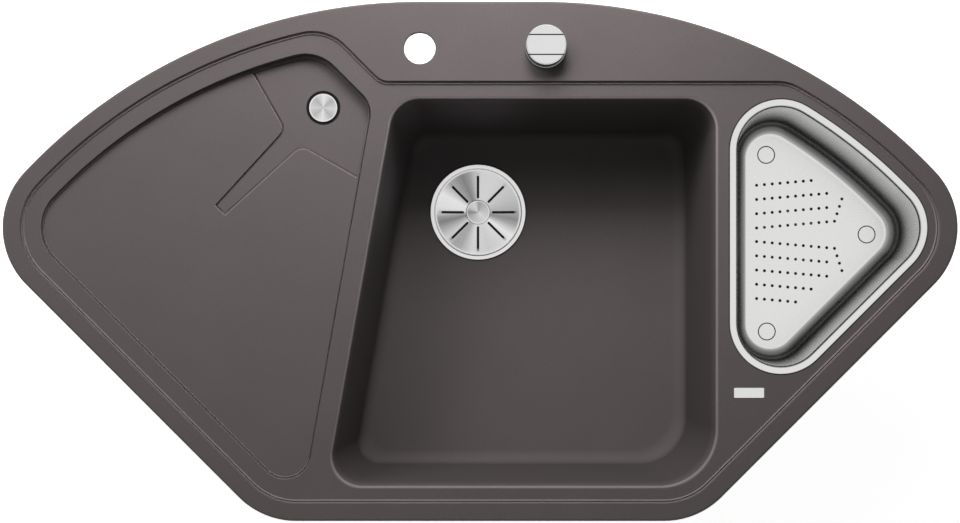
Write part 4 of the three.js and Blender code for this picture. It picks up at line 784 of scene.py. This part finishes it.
def granite_finish():
    """Speckled dark grey, with painted shade down the bowls' walls and a painted highlight on rounded edges
    near the top.
    """
    f = Finish("granite", (106, 100, 100), 0.58)
    grain = f.noise(900, 2, 0.6)
    base = f.shaded(grain, (106, 99, 99), 8)
    tone = f.shaded(f.noise(14), (106.5, 99.5, 99.5), 2.5)
    pale = f.range(f.spots(620), 0.35, 0.0, 0.0, 0.28)
    speckled = f.mix(pale, f.mix(0.5, base, tone), (136, 130, 129))
    flatness = f.flatness()
    # Painted shade: steep faces deep in the bowls are multiplied darker.
    steep = f.range(flatness, 1.0, 0.0, 0.25, 0.7)
    deep = f.range(f.height, 1.0, 0.0, -0.03, -0.004)
    walls = f.mix(1.0, speckled, grey(212), "MULTIPLY")
    base = f.mix(f.maths("MULTIPLY", steep, deep), speckled, walls)
    # Painted highlight: sloping and rounded faces near the top are made paler.
    slope = f.levels(flatness, [(0.25, 0), (0.97, 0), (0.42, 1), (0.88, 1)])
    near_top = f.range(f.height, 0.0, 1.0, -0.016, 0.016)
    shallow = f.levels(near_top, [(0.08, 0), (0.72, 0), (0.11, 1), (0.7, 1)])
    f.set("Specular IOR Level", 0.22)
    edges = f.mix(f.maths("MULTIPLY", slope, shallow), base, (146, 139, 138))
    return f.finished(edges, grain, 0.52, 0.64, 0.12, 0.0003)


SEAM = LAND - 0.95
# Painted shade lines on the colander: a dark band along the rim's seam and another along the floor's crease.
SHADE_LINES = [(SEAM, 0.6), (COLANDER_FLOOR - 1.5, 1.2)]  # middle and half height


def steel_finish(name, colour, roughness, along, wall_shade=False):
    """Steel with a straight stretched grain; with wall_shade, the sheet's steep faces get painted shade towards
    the floor, and painted shade lines run at the rim's seam and the floor's crease.
    """
    f = Finish(name, colour, roughness, 1.0)
    brush = f.brushed(along)
    base = f.shaded(brush, colour, 3, 0.25, 0.75)
    if wall_shade:
        # Painted shade: steep faces get darker towards the floor.
        steep = f.levels(f.flatness(), [(0.3, 1), (0.99, 0), (0.88, 0.7), (0.972, 0.52)])
        low = f.range(f.height, 1.0, 0.12, COLANDER_FLOOR * MM, -8 * MM)
        base = f.mix(f.maths("MULTIPLY", steep, low), base, grey(56))
        # Painted shade lines at the listed heights.
        for middle, half in SHADE_LINES:
            base = f.mix(f.maths("COMPARE", f.height, middle * MM, half * MM), base, grey(58))
    return f.finished(base, brush, roughness - 0.06, roughness + 0.06, 0.03)


def knob_finish():
    """Brushed steel, bright on top, with painted shade down the sides and in the grooves and a mid-grey painted
    shade on the rosette.
    """
    f = Finish("knob_steel", grey(226), 0.26, 1.0)
    brush = f.brushed((60, 1400, 400))
    face = f.shaded(brush, grey(227), 3, 0.25, 0.75)
    # Painted shade: dark below the top face, and mid grey on the rosette below the knob.
    side = f.range(f.height, 1.0, 0.0, 0.0302, 0.0308)
    foot = f.range(f.height, 1.0, 0.0, 0.0128, 0.0132)
    return f.finished(f.mix(foot, f.mix(side, face, grey(84)), grey(150)), brush, 0.2, 0.32, 0.015)


TURNED_GLOSS = 0.26


def turned_finish(name, centre, sectors, reach, lip):
    """Steel turned on a lathe: fine rings, and light and dark sectors of painted reflection, such as these
    rings show under light.

    sectors: (degrees, grey) pairs of painted reflection inside the radius reach; lip is the grey outside it.
    """
    f = Finish(name, grey(lip), TURNED_GLOSS, 1.0)
    place = f.vector_maths("SUBTRACT", f.place, (centre[0] * MM, (centre[1] - SEAT) * MM, 0.0))[0]
    flat = f.vector_maths("MULTIPLY", place, (1, 1, 0))[0]
    distance = f.vector_maths("LENGTH", flat)["Value"]
    rings = f.add("TexNoise", {"W": f.range(distance, 0, 900)}, noise_dimensions="1D").outputs["Fac"]
    turn = f.add("TexGradient", {"Vector": flat}, gradient_type="RADIAL").outputs["Fac"]
    # Painted reflection: greys by direction round the centre.
    stops = [(degrees / 360 + 0.5, grey(v)) for degrees, v in sectors]
    conic = f.ramp(turn, [stops[0], stops[-1]] + stops[1:-1])
    outside = f.range(distance, 0.0, 1.0, (reach - 1.2) * MM, (reach + 0.6) * MM)
    base = f.mix(0.5, f.mix(outside, conic, grey(lip)), f.shaded(rings, grey(213), 37), "SOFT_LIGHT")
    return f.finished(base, rings, TURNED_GLOSS - 0.05, TURNED_GLOSS + 0.05, 0.05)


def plastic_finish(name, colour):
    """Moulded plastic: a fine spark-eroded skin with faint flow clouds."""
    f = Finish(name, colour, 0.42)
    skin = f.noise(1500, 2)
    return f.finished(f.shaded(f.noise(22), colour, 5), skin, 0.36, 0.5, 0.1)


def rubber_finish():
    f = Finish("rubber", (34, 34, 35), 0.75)
    skin = f.noise(700, 3, 0.6)
    return f.finished(f.shaded(skin, (35, 35, 36), 7), skin, 0.66, 0.86, 0.15)


def zinc_finish():
    """Galvanised sheet with its spangles."""
    f = Finish("zinc", (172, 176, 178), 0.42, 1.0)
    base = f.ramp(f.spots(260), [(0.0, (182, 186, 188)), (0.9, (156, 160, 164))])
    return f.finished(base, f.noise(300), 0.34, 0.52, 0.08, relief=f.noise(500, 2))


# Painted reflections on turned steel, as greys by direction: 0 degrees is to the right, 90 to the back
DISC_REFLECTIONS = [
    (-180, 200), (-173, 150), (-165, 122), (-152, 172), (-140, 204), (-128, 160), (-117, 165), (-99, 214),
    (-72, 204), (-50, 216), (-35, 232), (-20, 165), (-11, 134), (2, 168), (25, 190), (60, 206), (84, 206),
    (92, 192), (104, 146), (114, 124), (135, 165), (153, 228), (172, 222), (180, 200),
]
BUTTON_REFLECTIONS = [
    (-180, 130), (-150, 170), (-100, 196), (-45, 214), (0, 196), (45, 176), (85, 150), (110, 205), (150, 190),
    (180, 130),
]
COVER_REFLECTIONS = [
    (-180, 205), (-140, 176), (-95, 226), (-50, 176), (-5, 208), (40, 170), (85, 226), (130, 176), (180, 205),
]
GREY, BLACK = "grey_plastic", "black_plastic"
MATERIALS = {
    "granite": granite_finish(),
    "steel": steel_finish("sheet_steel", (227, 227, 226), 0.27, (60, 2600, 400), wall_shade=True),
    "satin": steel_finish("satin", grey(224), 0.26, (60, 1400, 400)),
    BLACK: plastic_finish(BLACK, (24, 24, 25)),
    GREY: plastic_finish(GREY, (196, 198, 198)),
    "rubber": rubber_finish(),
    "zinc": zinc_finish(),
}
disc_steel = turned_finish("disc_steel", OUTLET, DISC_REFLECTIONS, 49.9, 222)
button_steel = turned_finish("button_steel", OUTLET, BUTTON_REFLECTIONS, 13.2, 232)
cover_steel = turned_finish("cover_steel", OVERFLOW, COVER_REFLECTIONS, 14.6, 238)
side_steel = turned_finish("side_steel", SIDE_OUTLET, DISC_REFLECTIONS, 30, 215)
knob_steel = knob_finish()

# CAD pieces that stay in view as they are
KEPT_NODES = [("control_shaft", "steel"), ("control_drum", BLACK), ("lift_pin", "steel"), ("lift_lever", BLACK)]
for name, slot in KEPT_NODES:
    mesh = frame["nodes"][name].data
    mesh.materials.clear()
    mesh.materials.append(MATERIALS[slot])

# ---- The pieces that the photograph shows ----
dressed(sink_body(), "granite", "sink_body")
dressed(colander(), "steel", "colander", body="colander")


def outlet_flange():
    rim = [(57, -0.5), (56.85, -0.15), (56.5, 0), (53.2, 0), (52.7, -0.08), (51.75, -0.5), (51.6, -0.7)]
    shelf = [(51.6, -1.6), (48.6, -1.6), (46.5, -2.1), (43.6, -3.2)]
    neck = [(43.6, -15.5), (40.8, -19), (40.8, -38), (45.4, -38)]
    profile = [(45.4, -2.5), (57, -2.5)] + raised(0.4, rim) + shelf + neck
    return lathe("outlet_ring", raised(MAIN_FLOOR, profile), OUTLET, 160)


def slots(at, inner, outer, width, low, high):
    """Cutters for eight slots with round ends that run outwards from a point."""
    half = width / 2
    points = [
        polar((centre, 0), half, radians(start + 180 * k / 8))
        for centre, start in ((outer - half, -90), (inner + half, 90))
        for k in range(9)
    ]
    cutters = []
    for angle in range(0, 360, 45):
        flat = [turned_about(at, u, v, radians(angle)) for u, v in points]
        cutters.append(loft("slot", [[(x, y, z) for x, y in flat] for z in (low, high)]))
    return cutters


DISC_TOP = MAIN_FLOOR - 0.1
DISH = 3.3


def strainer_disc():
    radius, bend, sheet = 51.3, 3, 1.2
    reach = radius - bend - 14.5
    dish = [(radius - bend - t * reach, DISC_TOP - DISH * sin(t * pi / 2)) for t in shares(10)]
    upper = [(radius, DISC_TOP - 0.35), (radius - 0.35, DISC_TOP)] + dish + [(6.6, DISC_TOP - DISH)]
    lower = raised(-sheet, [(6.6, DISC_TOP - DISH)] + dish[::-1] + [(radius, DISC_TOP)])
    disc = lathe("strainer_sheet", upper + lower, OUTLET, 160)
    return cut(disc, *slots(OUTLET, 16.6, 47.9, 3.0, DISC_TOP - 12, DISC_TOP + 6))


def strainer_button():
    centre_top = DISC_TOP - DISH
    under, crown, stem = centre_top + 0.3, MAIN_FLOOR + 0.6, centre_top - 9.2
    dish = [(13 * (1 - t), crown - 1.3 * sin(t * pi / 2)) for t in shares(6)]
    low = [(0, stem), (6, stem), (6, under), (14.2, under), (14.5, under + 0.3)]
    edge = raised(crown, [(14.5, -0.9), (14.35, -0.4), (14.0, -0.1), (13.5, 0)])
    return lathe("strainer_grip", low + edge + dish, OUTLET)


dressed(outlet_flange(), "steel", "outlet_flange", material=disc_steel)
dressed(strainer_disc(), "steel", "strainer_disc", body="strainer", material=disc_steel)
dressed(strainer_button(), "steel", "strainer_button", body="strainer", material=button_steel)

ROSETTE_LOW = TOP + 0.3
ROSETTE_TOP = ROSETTE_LOW + 4.5
SHAFT_BORE = 6.4


def rosette():
    neck = [(0, -29.7), (16.3, -29.7), (16.8, -29.2)]
    plate = raised(ROSETTE_LOW, [(16.8, 0), (22.8, 0), (23, 0.2)])
    plate += raised(ROSETTE_TOP, [(23, -0.7), (22.8, -0.2), (22.3, 0), (0, 0)])
    body = lathe("deck_rosette", neck + plate, KNOB, 128)
    return cut(body, rod(SHAFT_BORE, -40, 20, KNOB))


def knob():
    low, top = ROSETTE_TOP + 0.3, 32
    profile = raised(low, [(0, 0), (20.4, 0), (21, 0.3), (21.8, 1.3), (22, 2)])
    profile += raised(top, [(22, -1.3), (21.9, -1.1), (20.9, -0.1), (20.7, 0), (0, 0)])
    body = lathe("deck_knob", profile, KNOB, 128)
    x, y = KNOB
    grooves = [
        block("groove", (x - 30, middle - 0.7, top - 5), (x + 30, middle + 0.7, top + 5))
        for middle in (y - 10.9, y + 10.9)
    ]
    return cut(body, *grooves, rod(SHAFT_BORE, low - 5, ROSETTE_TOP + 9.3, KNOB))


dressed(rosette(), "satin", "control_rosette", material=knob_steel)
dressed(knob(), "satin", "control_knob", body="knob", material=knob_steel)

INSERT_BASE = OVERFLOW_FLOOR - 10 + 0.3


def overflow_insert():
    base, floor = INSERT_BASE, INSERT_BASE + 1.8
    brim = raised(OVERFLOW_FLOOR - 3, [(18.7, -0.4), (18.4, 0), (17.6, 0), (17.3, -0.4)])
    outside = [(10.9, -44), (12.7, -44), (12.7, base), (18.7, base)]
    cup = lathe("overflow_cup", outside + brim + [(17.3, floor), (10.9, floor)], OVERFLOW)
    low, high = (-12.4, -1.2, base), (12.4, 1.2, floor)
    spokes = [placed(block("spoke", low, high), *OVERFLOW, out) for out in (0, 90)]
    cup = joined(cup, *spokes, rod(4.6, base, floor + 2, OVERFLOW, 48))
    return cut(cup, rod(3.0, base - 5, floor + 5, OVERFLOW, 48))


def overflow_cover():
    disc = [
        (2.6, -1.6), (15.5, -1.6), (15.75, -1.35), (15.75, -0.5), (15.6, -0.12), (15.25, 0), (14.7, -0.02),
        (13.95, -0.3), (0, -0.3),
    ]
    stem = [(0, INSERT_BASE), (2.6, INSERT_BASE)]
    return lathe("overflow_disc", stem + raised(OVERFLOW_FLOOR + 0.8, disc), OVERFLOW, 128)


dressed(overflow_insert(), BLACK, "overflow_insert")
dressed(overflow_cover(), "steel", "overflow_cover", body="overflow_cover", material=cover_steel)


def badge():
    """A blank metal plate on the land in front of the corner bowl."""
    at, r = (297.9, 141.9), 1.2
    w, h = 33.4 / 2 - r, 11.2 / 2 - r
    corners = [(w, h, 0), (-w, h, 90), (-w, -h, 180), (w, -h, 270)]
    spots = [(at[0] + x, at[1] + y, radians(start + 90 * k / 6)) for x, y, start in corners for k in range(7)]
    return loft("badge", [
        [(*polar(spot, r - inset, spot[2]), LAND + z) for spot in spots]
        for inset, z in [(0, -0.1), (0, 0.45), (0.1, 0.6), (0.3, 0.65)]
    ])


dressed(badge(), "satin")


# ---- Under the sink ----
def grip_nut(name, outer, low, high, lobes, bore, at=AXIS):
    """A nut with soft grip lobes; bore is the profile that its hole takes out."""
    def outline_at(inset, z):
        angles = [2 * pi * k / (lobes * 12) for k in range(lobes * 12)]
        return [(*polar(at, outer - inset - 2 * (0.5 - 0.5 * cos(lobes * a)), a), z) for a in angles]
    rings = [(0.8, low), (0.2, low + 0.3), (0, low + 0.9), (0, high - 0.9), (0.2, high - 0.3), (0.8, high)]
    return cut(loft(name, [outline_at(i, z) for i, z in rings]), lathe("bore", bore, at, 64))


def union_nut(name, pipe):
    socket, neck = pipe + 4.2, pipe + 0.5
    bore = [(0, -15), (socket, -15), (socket, 0.3), (neck, 0.3), (neck, 11), (0, 11)]
    return grip_nut(name, pipe + 9, -10, 6, 6, bore)


def tube(name, points, bend, radius, wall=0.0):
    """A round pipe along straight stretches joined by quarter turns, hollow where it has a wall."""
    sides = 48
    corners = [Vector(p) for p in points]
    stops = [(corners[0], (corners[1] - corners[0]).normalized())]
    for before, corner, after in zip(corners, corners[1:], corners[2:]):
        back, ahead = (before - corner).normalized(), (after - corner).normalized()
        centre = corner + bend * (back + ahead)
        for angle in [t * pi / 2 for t in shares(12)]:
            place = centre - bend * (ahead * cos(angle) + back * sin(angle))
            stops.append((place, (ahead * sin(angle) - back * cos(angle)).normalized()))
    stops.append((corners[-1], (corners[-1] - corners[-2]).normalized()))
    side = stops[0][1].orthogonal().normalized()
    outer, inner = [], []
    for place, ahead in stops:
        side = (side - side.dot(ahead) * ahead).normalized()
        other = ahead.cross(side)
        spokes = [side * cos(2 * pi * k / sides) + other * sin(2 * pi * k / sides) for k in range(sides)]
        outer.append([tuple(place + radius * s) for s in spokes])
        inner.append([tuple(place + (radius - wall) * s) for s in spokes])
    if not wall:
        return loft(name, outer)
    rings = outer + inner[::-1]
    faces = [
        (r * sides + k, r * sides + j, n * sides + j, n * sides + k)
        for r, n in around(len(rings))
        for k, j in around(sides)
    ]
    return object_of(name, [p for run in rings for p in run], faces)


SOCKET = 18
SPOUT = 68
TEE_SPOUT = 52
PIPE, PIPE_WALL, PIPE_Z, BEND = 20, 2, -241, 38
THIN_PIPE, THIN_WALL, THIN_PIPE_Z, THIN_BEND = 12.5, 1.8, -236, 45


def spout_socket(pipe, reach):
    profile = raised(reach - SOCKET, [(0, -3.6), (pipe + 2.6, -3.6), (pipe + 3.6, -2.6)])
    return lathe("socket", profile + raised(reach, [(pipe + 3.6, -0.6), (pipe + 3.0, 0), (0, 0)]), sides=64)


def spouts(at, start, reach, ways):
    """The outer parts of level spouts with sockets at their ends, and the cutters that bore them."""
    outside, inside = [], []
    for pipe, wall, z, way in ways:
        shoulder = reach - SOCKET
        outside += [laid(s, at, z, way) for s in (rod(pipe, start, shoulder), spout_socket(pipe, reach))]
        bores = rod(pipe - wall, 0, reach), rod(pipe + 0.3, shoulder, reach + PAST)
        inside += [laid(s, at, z, way) for s in bores]
    return outside, inside


def hollowed(shell, outside, inside):
    """A shell with its outer parts joined on, bored by one cutter after another."""
    made = joined(shell, *outside)
    for tool in inside:
        made = cut(made, tool)
    return made


RUN_Y = 474
TEE = (150, RUN_Y)
LEVER_TILT = radians(15.5)
AXLE = (OUTLET[0], OUTLET[1] - 8.5 * (1 + cos(LEVER_TILT)))
AXLE_Z = -245.4 + 17 * sin(LEVER_TILT)
PIN_BORE = 3.3
CRANK = (OUTLET[0] + 59.5, AXLE[1] + 36)
CRANK_Z = AXLE_Z - 20
OVERFLOW_WAY = atan2(OVERFLOW[1] - OUTLET[1], OVERFLOW[0] - OUTLET[0]) * 180 / pi


def main_waste():
    """The cup under the main outlet, with two spouts, the lever's axle and the cable's bracket."""
    end, top = -262, -208.5
    shell = [(0, end)] + corner_arc(41.6, end + 8, 8) + [(49.6, top - 1), (49.0, top), (0, top)]
    hollow = [(0, end + 3)] + corner_arc(35.3, end + 11, 8)
    hollow += [(43.3, -222.3), (46.2, -222.3), (46.2, top + PAST), (0, top + PAST)]
    ways = (PIPE, PIPE_WALL, PIPE_Z, 90), (THIN_PIPE, THIN_WALL, THIN_PIPE_Z, OVERFLOW_WAY)
    outside, inside = spouts(OUTLET, 40, SPOUT, ways)
    x, y = CRANK
    outside += [
        laid(rod(7, 38, 57.2), AXLE, AXLE_Z, 0),
        block("bracket", (OUTLET[0] + 41, y - 2, CRANK_Z - 8), (x + 8, y + 2, CRANK_Z + 8)),
    ]
    inside = [lathe("hollow", hollow, OUTLET)] + inside
    inside += [laid(rod(PIN_BORE, 0, 62), AXLE, AXLE_Z, 0), laid(rod(4.8, -5, 5), CRANK, CRANK_Z, 90)]
    cup = hollowed(lathe("trap_cup", shell, OUTLET), outside, inside)
    x, y = OUTLET
    low, high = -229, -223.5
    guide = joined(block("guide", (x - 44.5, y - 2, low), (x + 44.5, y + 2, high)), rod(7, low, high, OUTLET))
    return joined(cup, cut(guide, rod(PIN_BORE, -235, -218, OUTLET)))


def waste_tee():
    """Two level spouts and a drop with a socket."""
    outside, inside = spouts(TEE, 0, TEE_SPOUT, [(PIPE, PIPE_WALL, PIPE_Z, way) for way in (0, 180)])
    low = PIPE_Z - 57
    profile = raised(low, [(0, 0), (23.0, 0), (23.6, 0.6), (23.6, 20.6), (22.6, 21.6), (PIPE, 21.6)])
    drop = lathe("branch_tee", profile + [(PIPE, PIPE_Z), (0, PIPE_Z)], TEE, 64)
    return hollowed(drop, outside, inside + [rod(PIPE - PIPE_WALL, low - PAST, PIPE_Z, TEE)])


def side_waste():
    """The corner bowl's cup, whose bend turns back to a level socket."""
    top, shoulder = -134.2, -152.3
    x, y = SIDE_OUTLET
    profile = raised(shoulder, [(0, -8), (PIPE, -8), (27.4, -4.6), (27.9, -4)])
    profile += raised(top, [(27.9, -4), (34.4, -4), (35, -3.4), (35, -0.6), (34.4, 0), (0, 0)])
    cup = lathe("side_drop", profile, SIDE_OUTLET)

    def turn(name, radius, high, reach):
        return tube(name, [(x, y, high), (x, y, PIPE_Z), (x, y + reach, PIPE_Z)], BEND, radius)
    outside = [turn("bend", PIPE, shoulder - 4, 50), laid(spout_socket(PIPE, SPOUT), SIDE_OUTLET, PIPE_Z, 90)]
    return hollowed(cup, outside, [
        rod(25.2, shoulder, top + PAST, SIDE_OUTLET),
        turn("bore", PIPE - PIPE_WALL, shoulder + 5, 55),
        laid(rod(PIPE + 0.3, SPOUT - SOCKET, SPOUT + PAST), SIDE_OUTLET, PIPE_Z, 90),
    ])


def side_strainer():
    floor, brim = -139, -123.3
    profile = raised(floor, [(0, 0), (18.9, 0), (19.7, 0.9)])
    profile += raised(brim, [(20.7, 0), (28.3, 0), (28.6, 0.4), (28.3, 1), (20.3, 1), (19.7, 0.6)])
    profile += raised(floor, [(18.7, 1.5), (18.2, 1), (0, 1)])
    cup = lathe("side_basket", profile, SIDE_OUTLET)
    cup = cut(cup, *slots(SIDE_OUTLET, 8, 16.7, 2.5, floor - 5, floor + 5))
    grip = raised(brim, [(3, -3), (5.4, -1.6), (6, -0.8), (6, 0.4), (5.4, 1), (0, 1)])
    return joined(cup, lathe("pull", [(0, floor), (3, floor)] + grip, SIDE_OUTLET, 48))


SCREW = (-5.5, 0)


def clamp_strip(name):
    """Bent sheet: a tongue, an upright and a foot with a threaded hole, with x pointing out."""
    tongue, inner, outer, foot = -25.2, -16.9, -14.4, -54
    side = [
        (tongue, -14.7), (inner - 1, -14.7), (inner - 0.3, -15), (inner, -15.7), (inner, -53),
        (inner + 0.3, -53.7), (inner + 1, foot), (-1.5, foot), (-1.5, foot + 2.5), (outer + 0.8, foot + 2.5),
        (outer + 0.2, -51.3), (outer, -50.7), (outer, -13.2), (outer - 0.3, -12.5), (outer - 1, -12.2),
        (tongue, -12.2),
    ]
    strip = loft(name, [[(x, y, z) for x, z in side] for y in (8, -8)])
    return cut(strip, rod(3.3, -60, -46, SCREW, 32))


def clamp_bolt(name):
    """A threaded screw with a rounded head and a slot."""
    head = [(0, -66), (4.2, -66), (5.2, -65.2), (5.5, -64.4), (5.5, -62.3), (5.1, -62), (3, -62)]
    thread = [point for k in range(22) for point in ((3.0, k - 61.5), (2.6, k - 61.0))]
    body = lathe(name, head + thread + [(2.2, -38.8), (1.6, -38.5), (0, -38.5)], SCREW, 32)
    return cut(body, block("slot", (SCREW[0] - 7, -0.7, -70), (SCREW[0] + 7, 0.7, -64.4)))


dressed(lathe("outlet_gasket", washer(45.7, 61, -195.9, -193.3, 0.6), OUTLET), "rubber", "outlet_seal")
nut = grip_nut("outlet_ring_nut", 62.4, -208.2, -196.2, 8, cylinder(45.8, -213, -191), OUTLET)
dressed(nut, GREY, "outlet_nut")
dressed(main_waste(), GREY, "waste_body")
dressed(waste_tee(), GREY, "waste_tee")
dressed(side_waste(), GREY, "side_waste")
for name, (x, y), end, node in [
    ("main_run", OUTLET, TEE[0] - 36, "main_pipe"),
    ("side_run", SIDE_OUTLET, TEE[0] + 36, "side_pipe"),
]:
    way = [(x, y + 52, PIPE_Z), (x, RUN_Y, PIPE_Z), (end, RUN_Y, PIPE_Z)]
    dressed(tube(name, way, BEND, PIPE, PIPE_WALL), GREY, node)
    dressed(laid(union_nut(name + "_nut", PIPE), (x, y + SPOUT), PIPE_Z, 90), GREY, node + "_nut")

NECK_END = -44
COUPLING_END = NECK_END - 22
x, y = OVERFLOW
spout_end, nut_at = (polar(OUTLET, reach, radians(OVERFLOW_WAY)) for reach in (52, SPOUT))
way = [(x, y, COUPLING_END + 16), (x, y, THIN_PIPE_Z), (*spout_end, THIN_PIPE_Z)]
dressed(tube("overflow_run", way, THIN_BEND, THIN_PIPE, THIN_WALL), GREY, "overflow_pipe")
upside_down = Matrix.Rotation(pi, 4, "X")
nut = moved(union_nut("overflow_top_nut", THIN_PIPE), OVERFLOW, COUPLING_END, upside_down)
dressed(nut, GREY, "overflow_nut_upper")
nut = laid(union_nut("overflow_low_nut", THIN_PIPE), nut_at, THIN_PIPE_Z, OVERFLOW_WAY)
dressed(nut, GREY, "overflow_nut_lower")
dressed(lathe("overflow_gasket", washer(13.2, 22, -30.9, -28.3), OVERFLOW, 64), "rubber", "overflow_seal")
dressed(lathe("overflow_socket", [
    (13.2, -31.2), (21.4, -31.2), (22, -31.8), (22, -34.6), (21.4, -35.2), (17.1, -35.2), (16.1, -36.2),
    (16.1, COUPLING_END), (12.8, COUPLING_END), (12.8, COUPLING_END + SOCKET), (10.9, COUPLING_END + SOCKET),
    (10.9, NECK_END - 0.3), (13.2, NECK_END - 0.3),
], OVERFLOW, 64), GREY, "overflow_coupling")

dressed(lathe("side_ring", [
    (24.5, -124.5), (35, -124.5), (35, -122.1), (34.5, -121.6), (32.6, -121.6), (31.9, -121.9), (30, -123.2),
    (29.4, -123.6), (23.4, -123.6), (22.7, -124.3), (22.7, -152), (24.5, -152),
], SIDE_OUTLET), "steel", "side_flange", material=side_steel)
dressed(lathe("side_gasket", washer(24.9, 35, -133.9, -131.3, 0.5), SIDE_OUTLET), "rubber", "side_seal")
dressed(side_strainer(), "steel", "side_strainer", body="side_strainer", material=side_steel)
dressed(lathe("plug_plate", [
    (0, -196.9), (6.3, -196.9), (6.3, -188.9), (10.3, -188.9), (10.3, -196.3), (11.5, -195.5), (41.9, -195.5),
    (42.6, -196.2), (42.6, -198.3), (37.8, -198.3), (37.8, -204.9), (8, -204.9), (8, -211.3), (3.5, -211.3),
    (3.5, -199.6), (0, -199.6),
], OUTLET), BLACK, "strainer_plug", body="strainer")
dressed(lathe("plug_lip", [
    (38.1, -198.6), (42.4, -198.6), (42.6, -198.8), (42.6, -199.8), (40.6, -202), (39.5, -202.9),
    (38.1, -202.9),
], OUTLET), "rubber", "strainer_seal", body="strainer")
gland = lathe("gland_stub", [
    (1.5, -4), (4.1, -4), (4.5, -3.6), (4.5, 2.3), (6.5, 2.3), (6.5, 3.2), (5.2, 9), (4.9, 9.6), (5.1, 10.2),
    (4.7, 12), (4.4, 12.6), (4.6, 13.2), (4.3, 16), (1.5, 16),
], sides=48)
dressed(laid(gland, CRANK, CRANK_Z, 90), BLACK, "cable_gland")

cover = [(0, -61.1), (25.2, -61.1), (26, -60.3), (26, -58.3), (0, -58.3)]
dressed(lathe("drum_cover", cover, KNOB), BLACK, "control_cover")
dressed(lathe("deck_gasket", washer(17.2, 26, -2.3, -0.3), KNOB), "rubber", "control_washer")
dressed(grip_nut("deck_nut", 27, -15.7, -2.6, 8, cylinder(17.3, -21, 3), KNOB), BLACK, "control_nut")
case = lathe("drum_case", [
    (6.6, -32.8), (23.2, -32.8), (23.2, -58), (26, -58), (26, -31.2), (25.6, -30.4), (24.8, -30), (21.2, -30),
    (20.2, -29), (20.2, -16.6), (19.6, -16), (17.3, -16), (17.3, -30), (6.6, -30),
], KNOB)
cable_hole = laid(rod(2.5, 0, 52), (KNOB[0] - 18.5, KNOB[1]), -45.4, -90)
dressed(cut(case, cable_hole), BLACK, "control_case")

for where, place in clamp_places.items():
    dressed(placed(clamp_strip("hook_" + where), *place), "zinc", "clamp_" + where)
    dressed(placed(clamp_bolt("bolt_" + where), *place), "zinc", "clamp_screw_" + where)

# ---- Floor, light and camera ----
FLOOR_Z = -300
FLOOR_REACH = 6000


def floor():
    a = FLOOR_REACH
    corners = [(x, y + SEAT, FLOOR_Z) for x, y in ((-a, -a), (a, -a), (a, a), (-a, a))]
    obj = object_of("floor", corners, [(0, 1, 2, 3)])
    f = Finish("floor", grey(236), 0.9)
    f.set("Emission Color", grey(255))
    f.set("Emission Strength", f.range(f.seen(), 0.0, 0.88))
    obj.data.materials.append(f.material)


# Brightness of the sky by the height of the direction, from the horizon at 0 to straight up at 1
SKY = [(0.0, 1.0), (1.0, 1.0), (0.12, 0.85), (0.4, 0.55), (0.7, 0.55), (0.88, 0.94)]


def world():
    """White overhead and near the horizon, with a greyer band between them that polished metal shows."""
    studio = bpy.data.worlds.new("studio")
    bpy.context.scene.world = studio
    studio.use_nodes = True
    w = Nodes(studio.node_tree)
    background = w.tree.nodes["Background"].inputs
    w.give(background["Strength"], w.range(w.seen(), 0.05, 1.0))
    direction = w.add("TexCoord").outputs["Generated"]
    w.give(background["Color"], w.levels(w.upright(direction), SKY))


def lamp(name, location, target, size, watts):
    light = bpy.data.lights.new(name, "AREA")
    light.shape = "RECTANGLE"
    light.size, light.size_y = size
    light.energy = watts
    obj = linked(name, light)
    obj.location = location
    obj.rotation_mode = "QUATERNION"
    obj.rotation_quaternion = (Vector(target) - Vector(location)).to_track_quat("-Z", "Y")
    obj.visible_camera = False
    obj.visible_glossy = False


floor()
world()
# Name, place, target, size and watts
LAMPS = [
    ("key", (-1.0, 1.4, 1.5), (-0.4, 0.85, 0), (0.875, 0.875), 14.5),
    ("high", (-0.2, 1.4, 1.5), (-0.08, 0.85, 0), (0.875, 0.875), 4.4),
    ("near", (0.03, 0.9, 0.5), (0.03, 0.6, 0), (0.29, 0.29), 3.9),
    ("low", (0.0, 1.4, 0.5), (0, 0.85, 0), (0.29, 0.29), 1.6),
    ("side", (-1.0, 0.5, 0.5), (-0.4, 0.4, 0), (0.29, 0.29), 0.55),
    ("front_fill", (0, -1.3, -0.16), (0, 0.1, -0.16), (1.4, 0.26), 7),
    ("left_fill", (-1.6, 0.3, -0.16), (0, 0.3, -0.16), (1.0, 0.26), 4),
    ("right_fill", (1.6, 0.3, -0.16), (0, 0.3, -0.16), (1.0, 0.26), 4),
    ("back_fill", (0, 1.9, -0.16), (0, 0.5, -0.16), (1.4, 0.26), 5),
]
for each in LAMPS:
    lamp(*each)

camera = linked("camera", bpy.data.cameras.new("camera"))
camera.data.sensor_width = 36
camera.data.lens = 77.69
camera.data.shift_x = -0.0052
camera.data.shift_y = 0.1089
camera.location = (0.0054, 0.1606, 2.298)
bpy.context.scene.camera = camera
bpy.context.scene.view_settings.view_transform = "Standard"
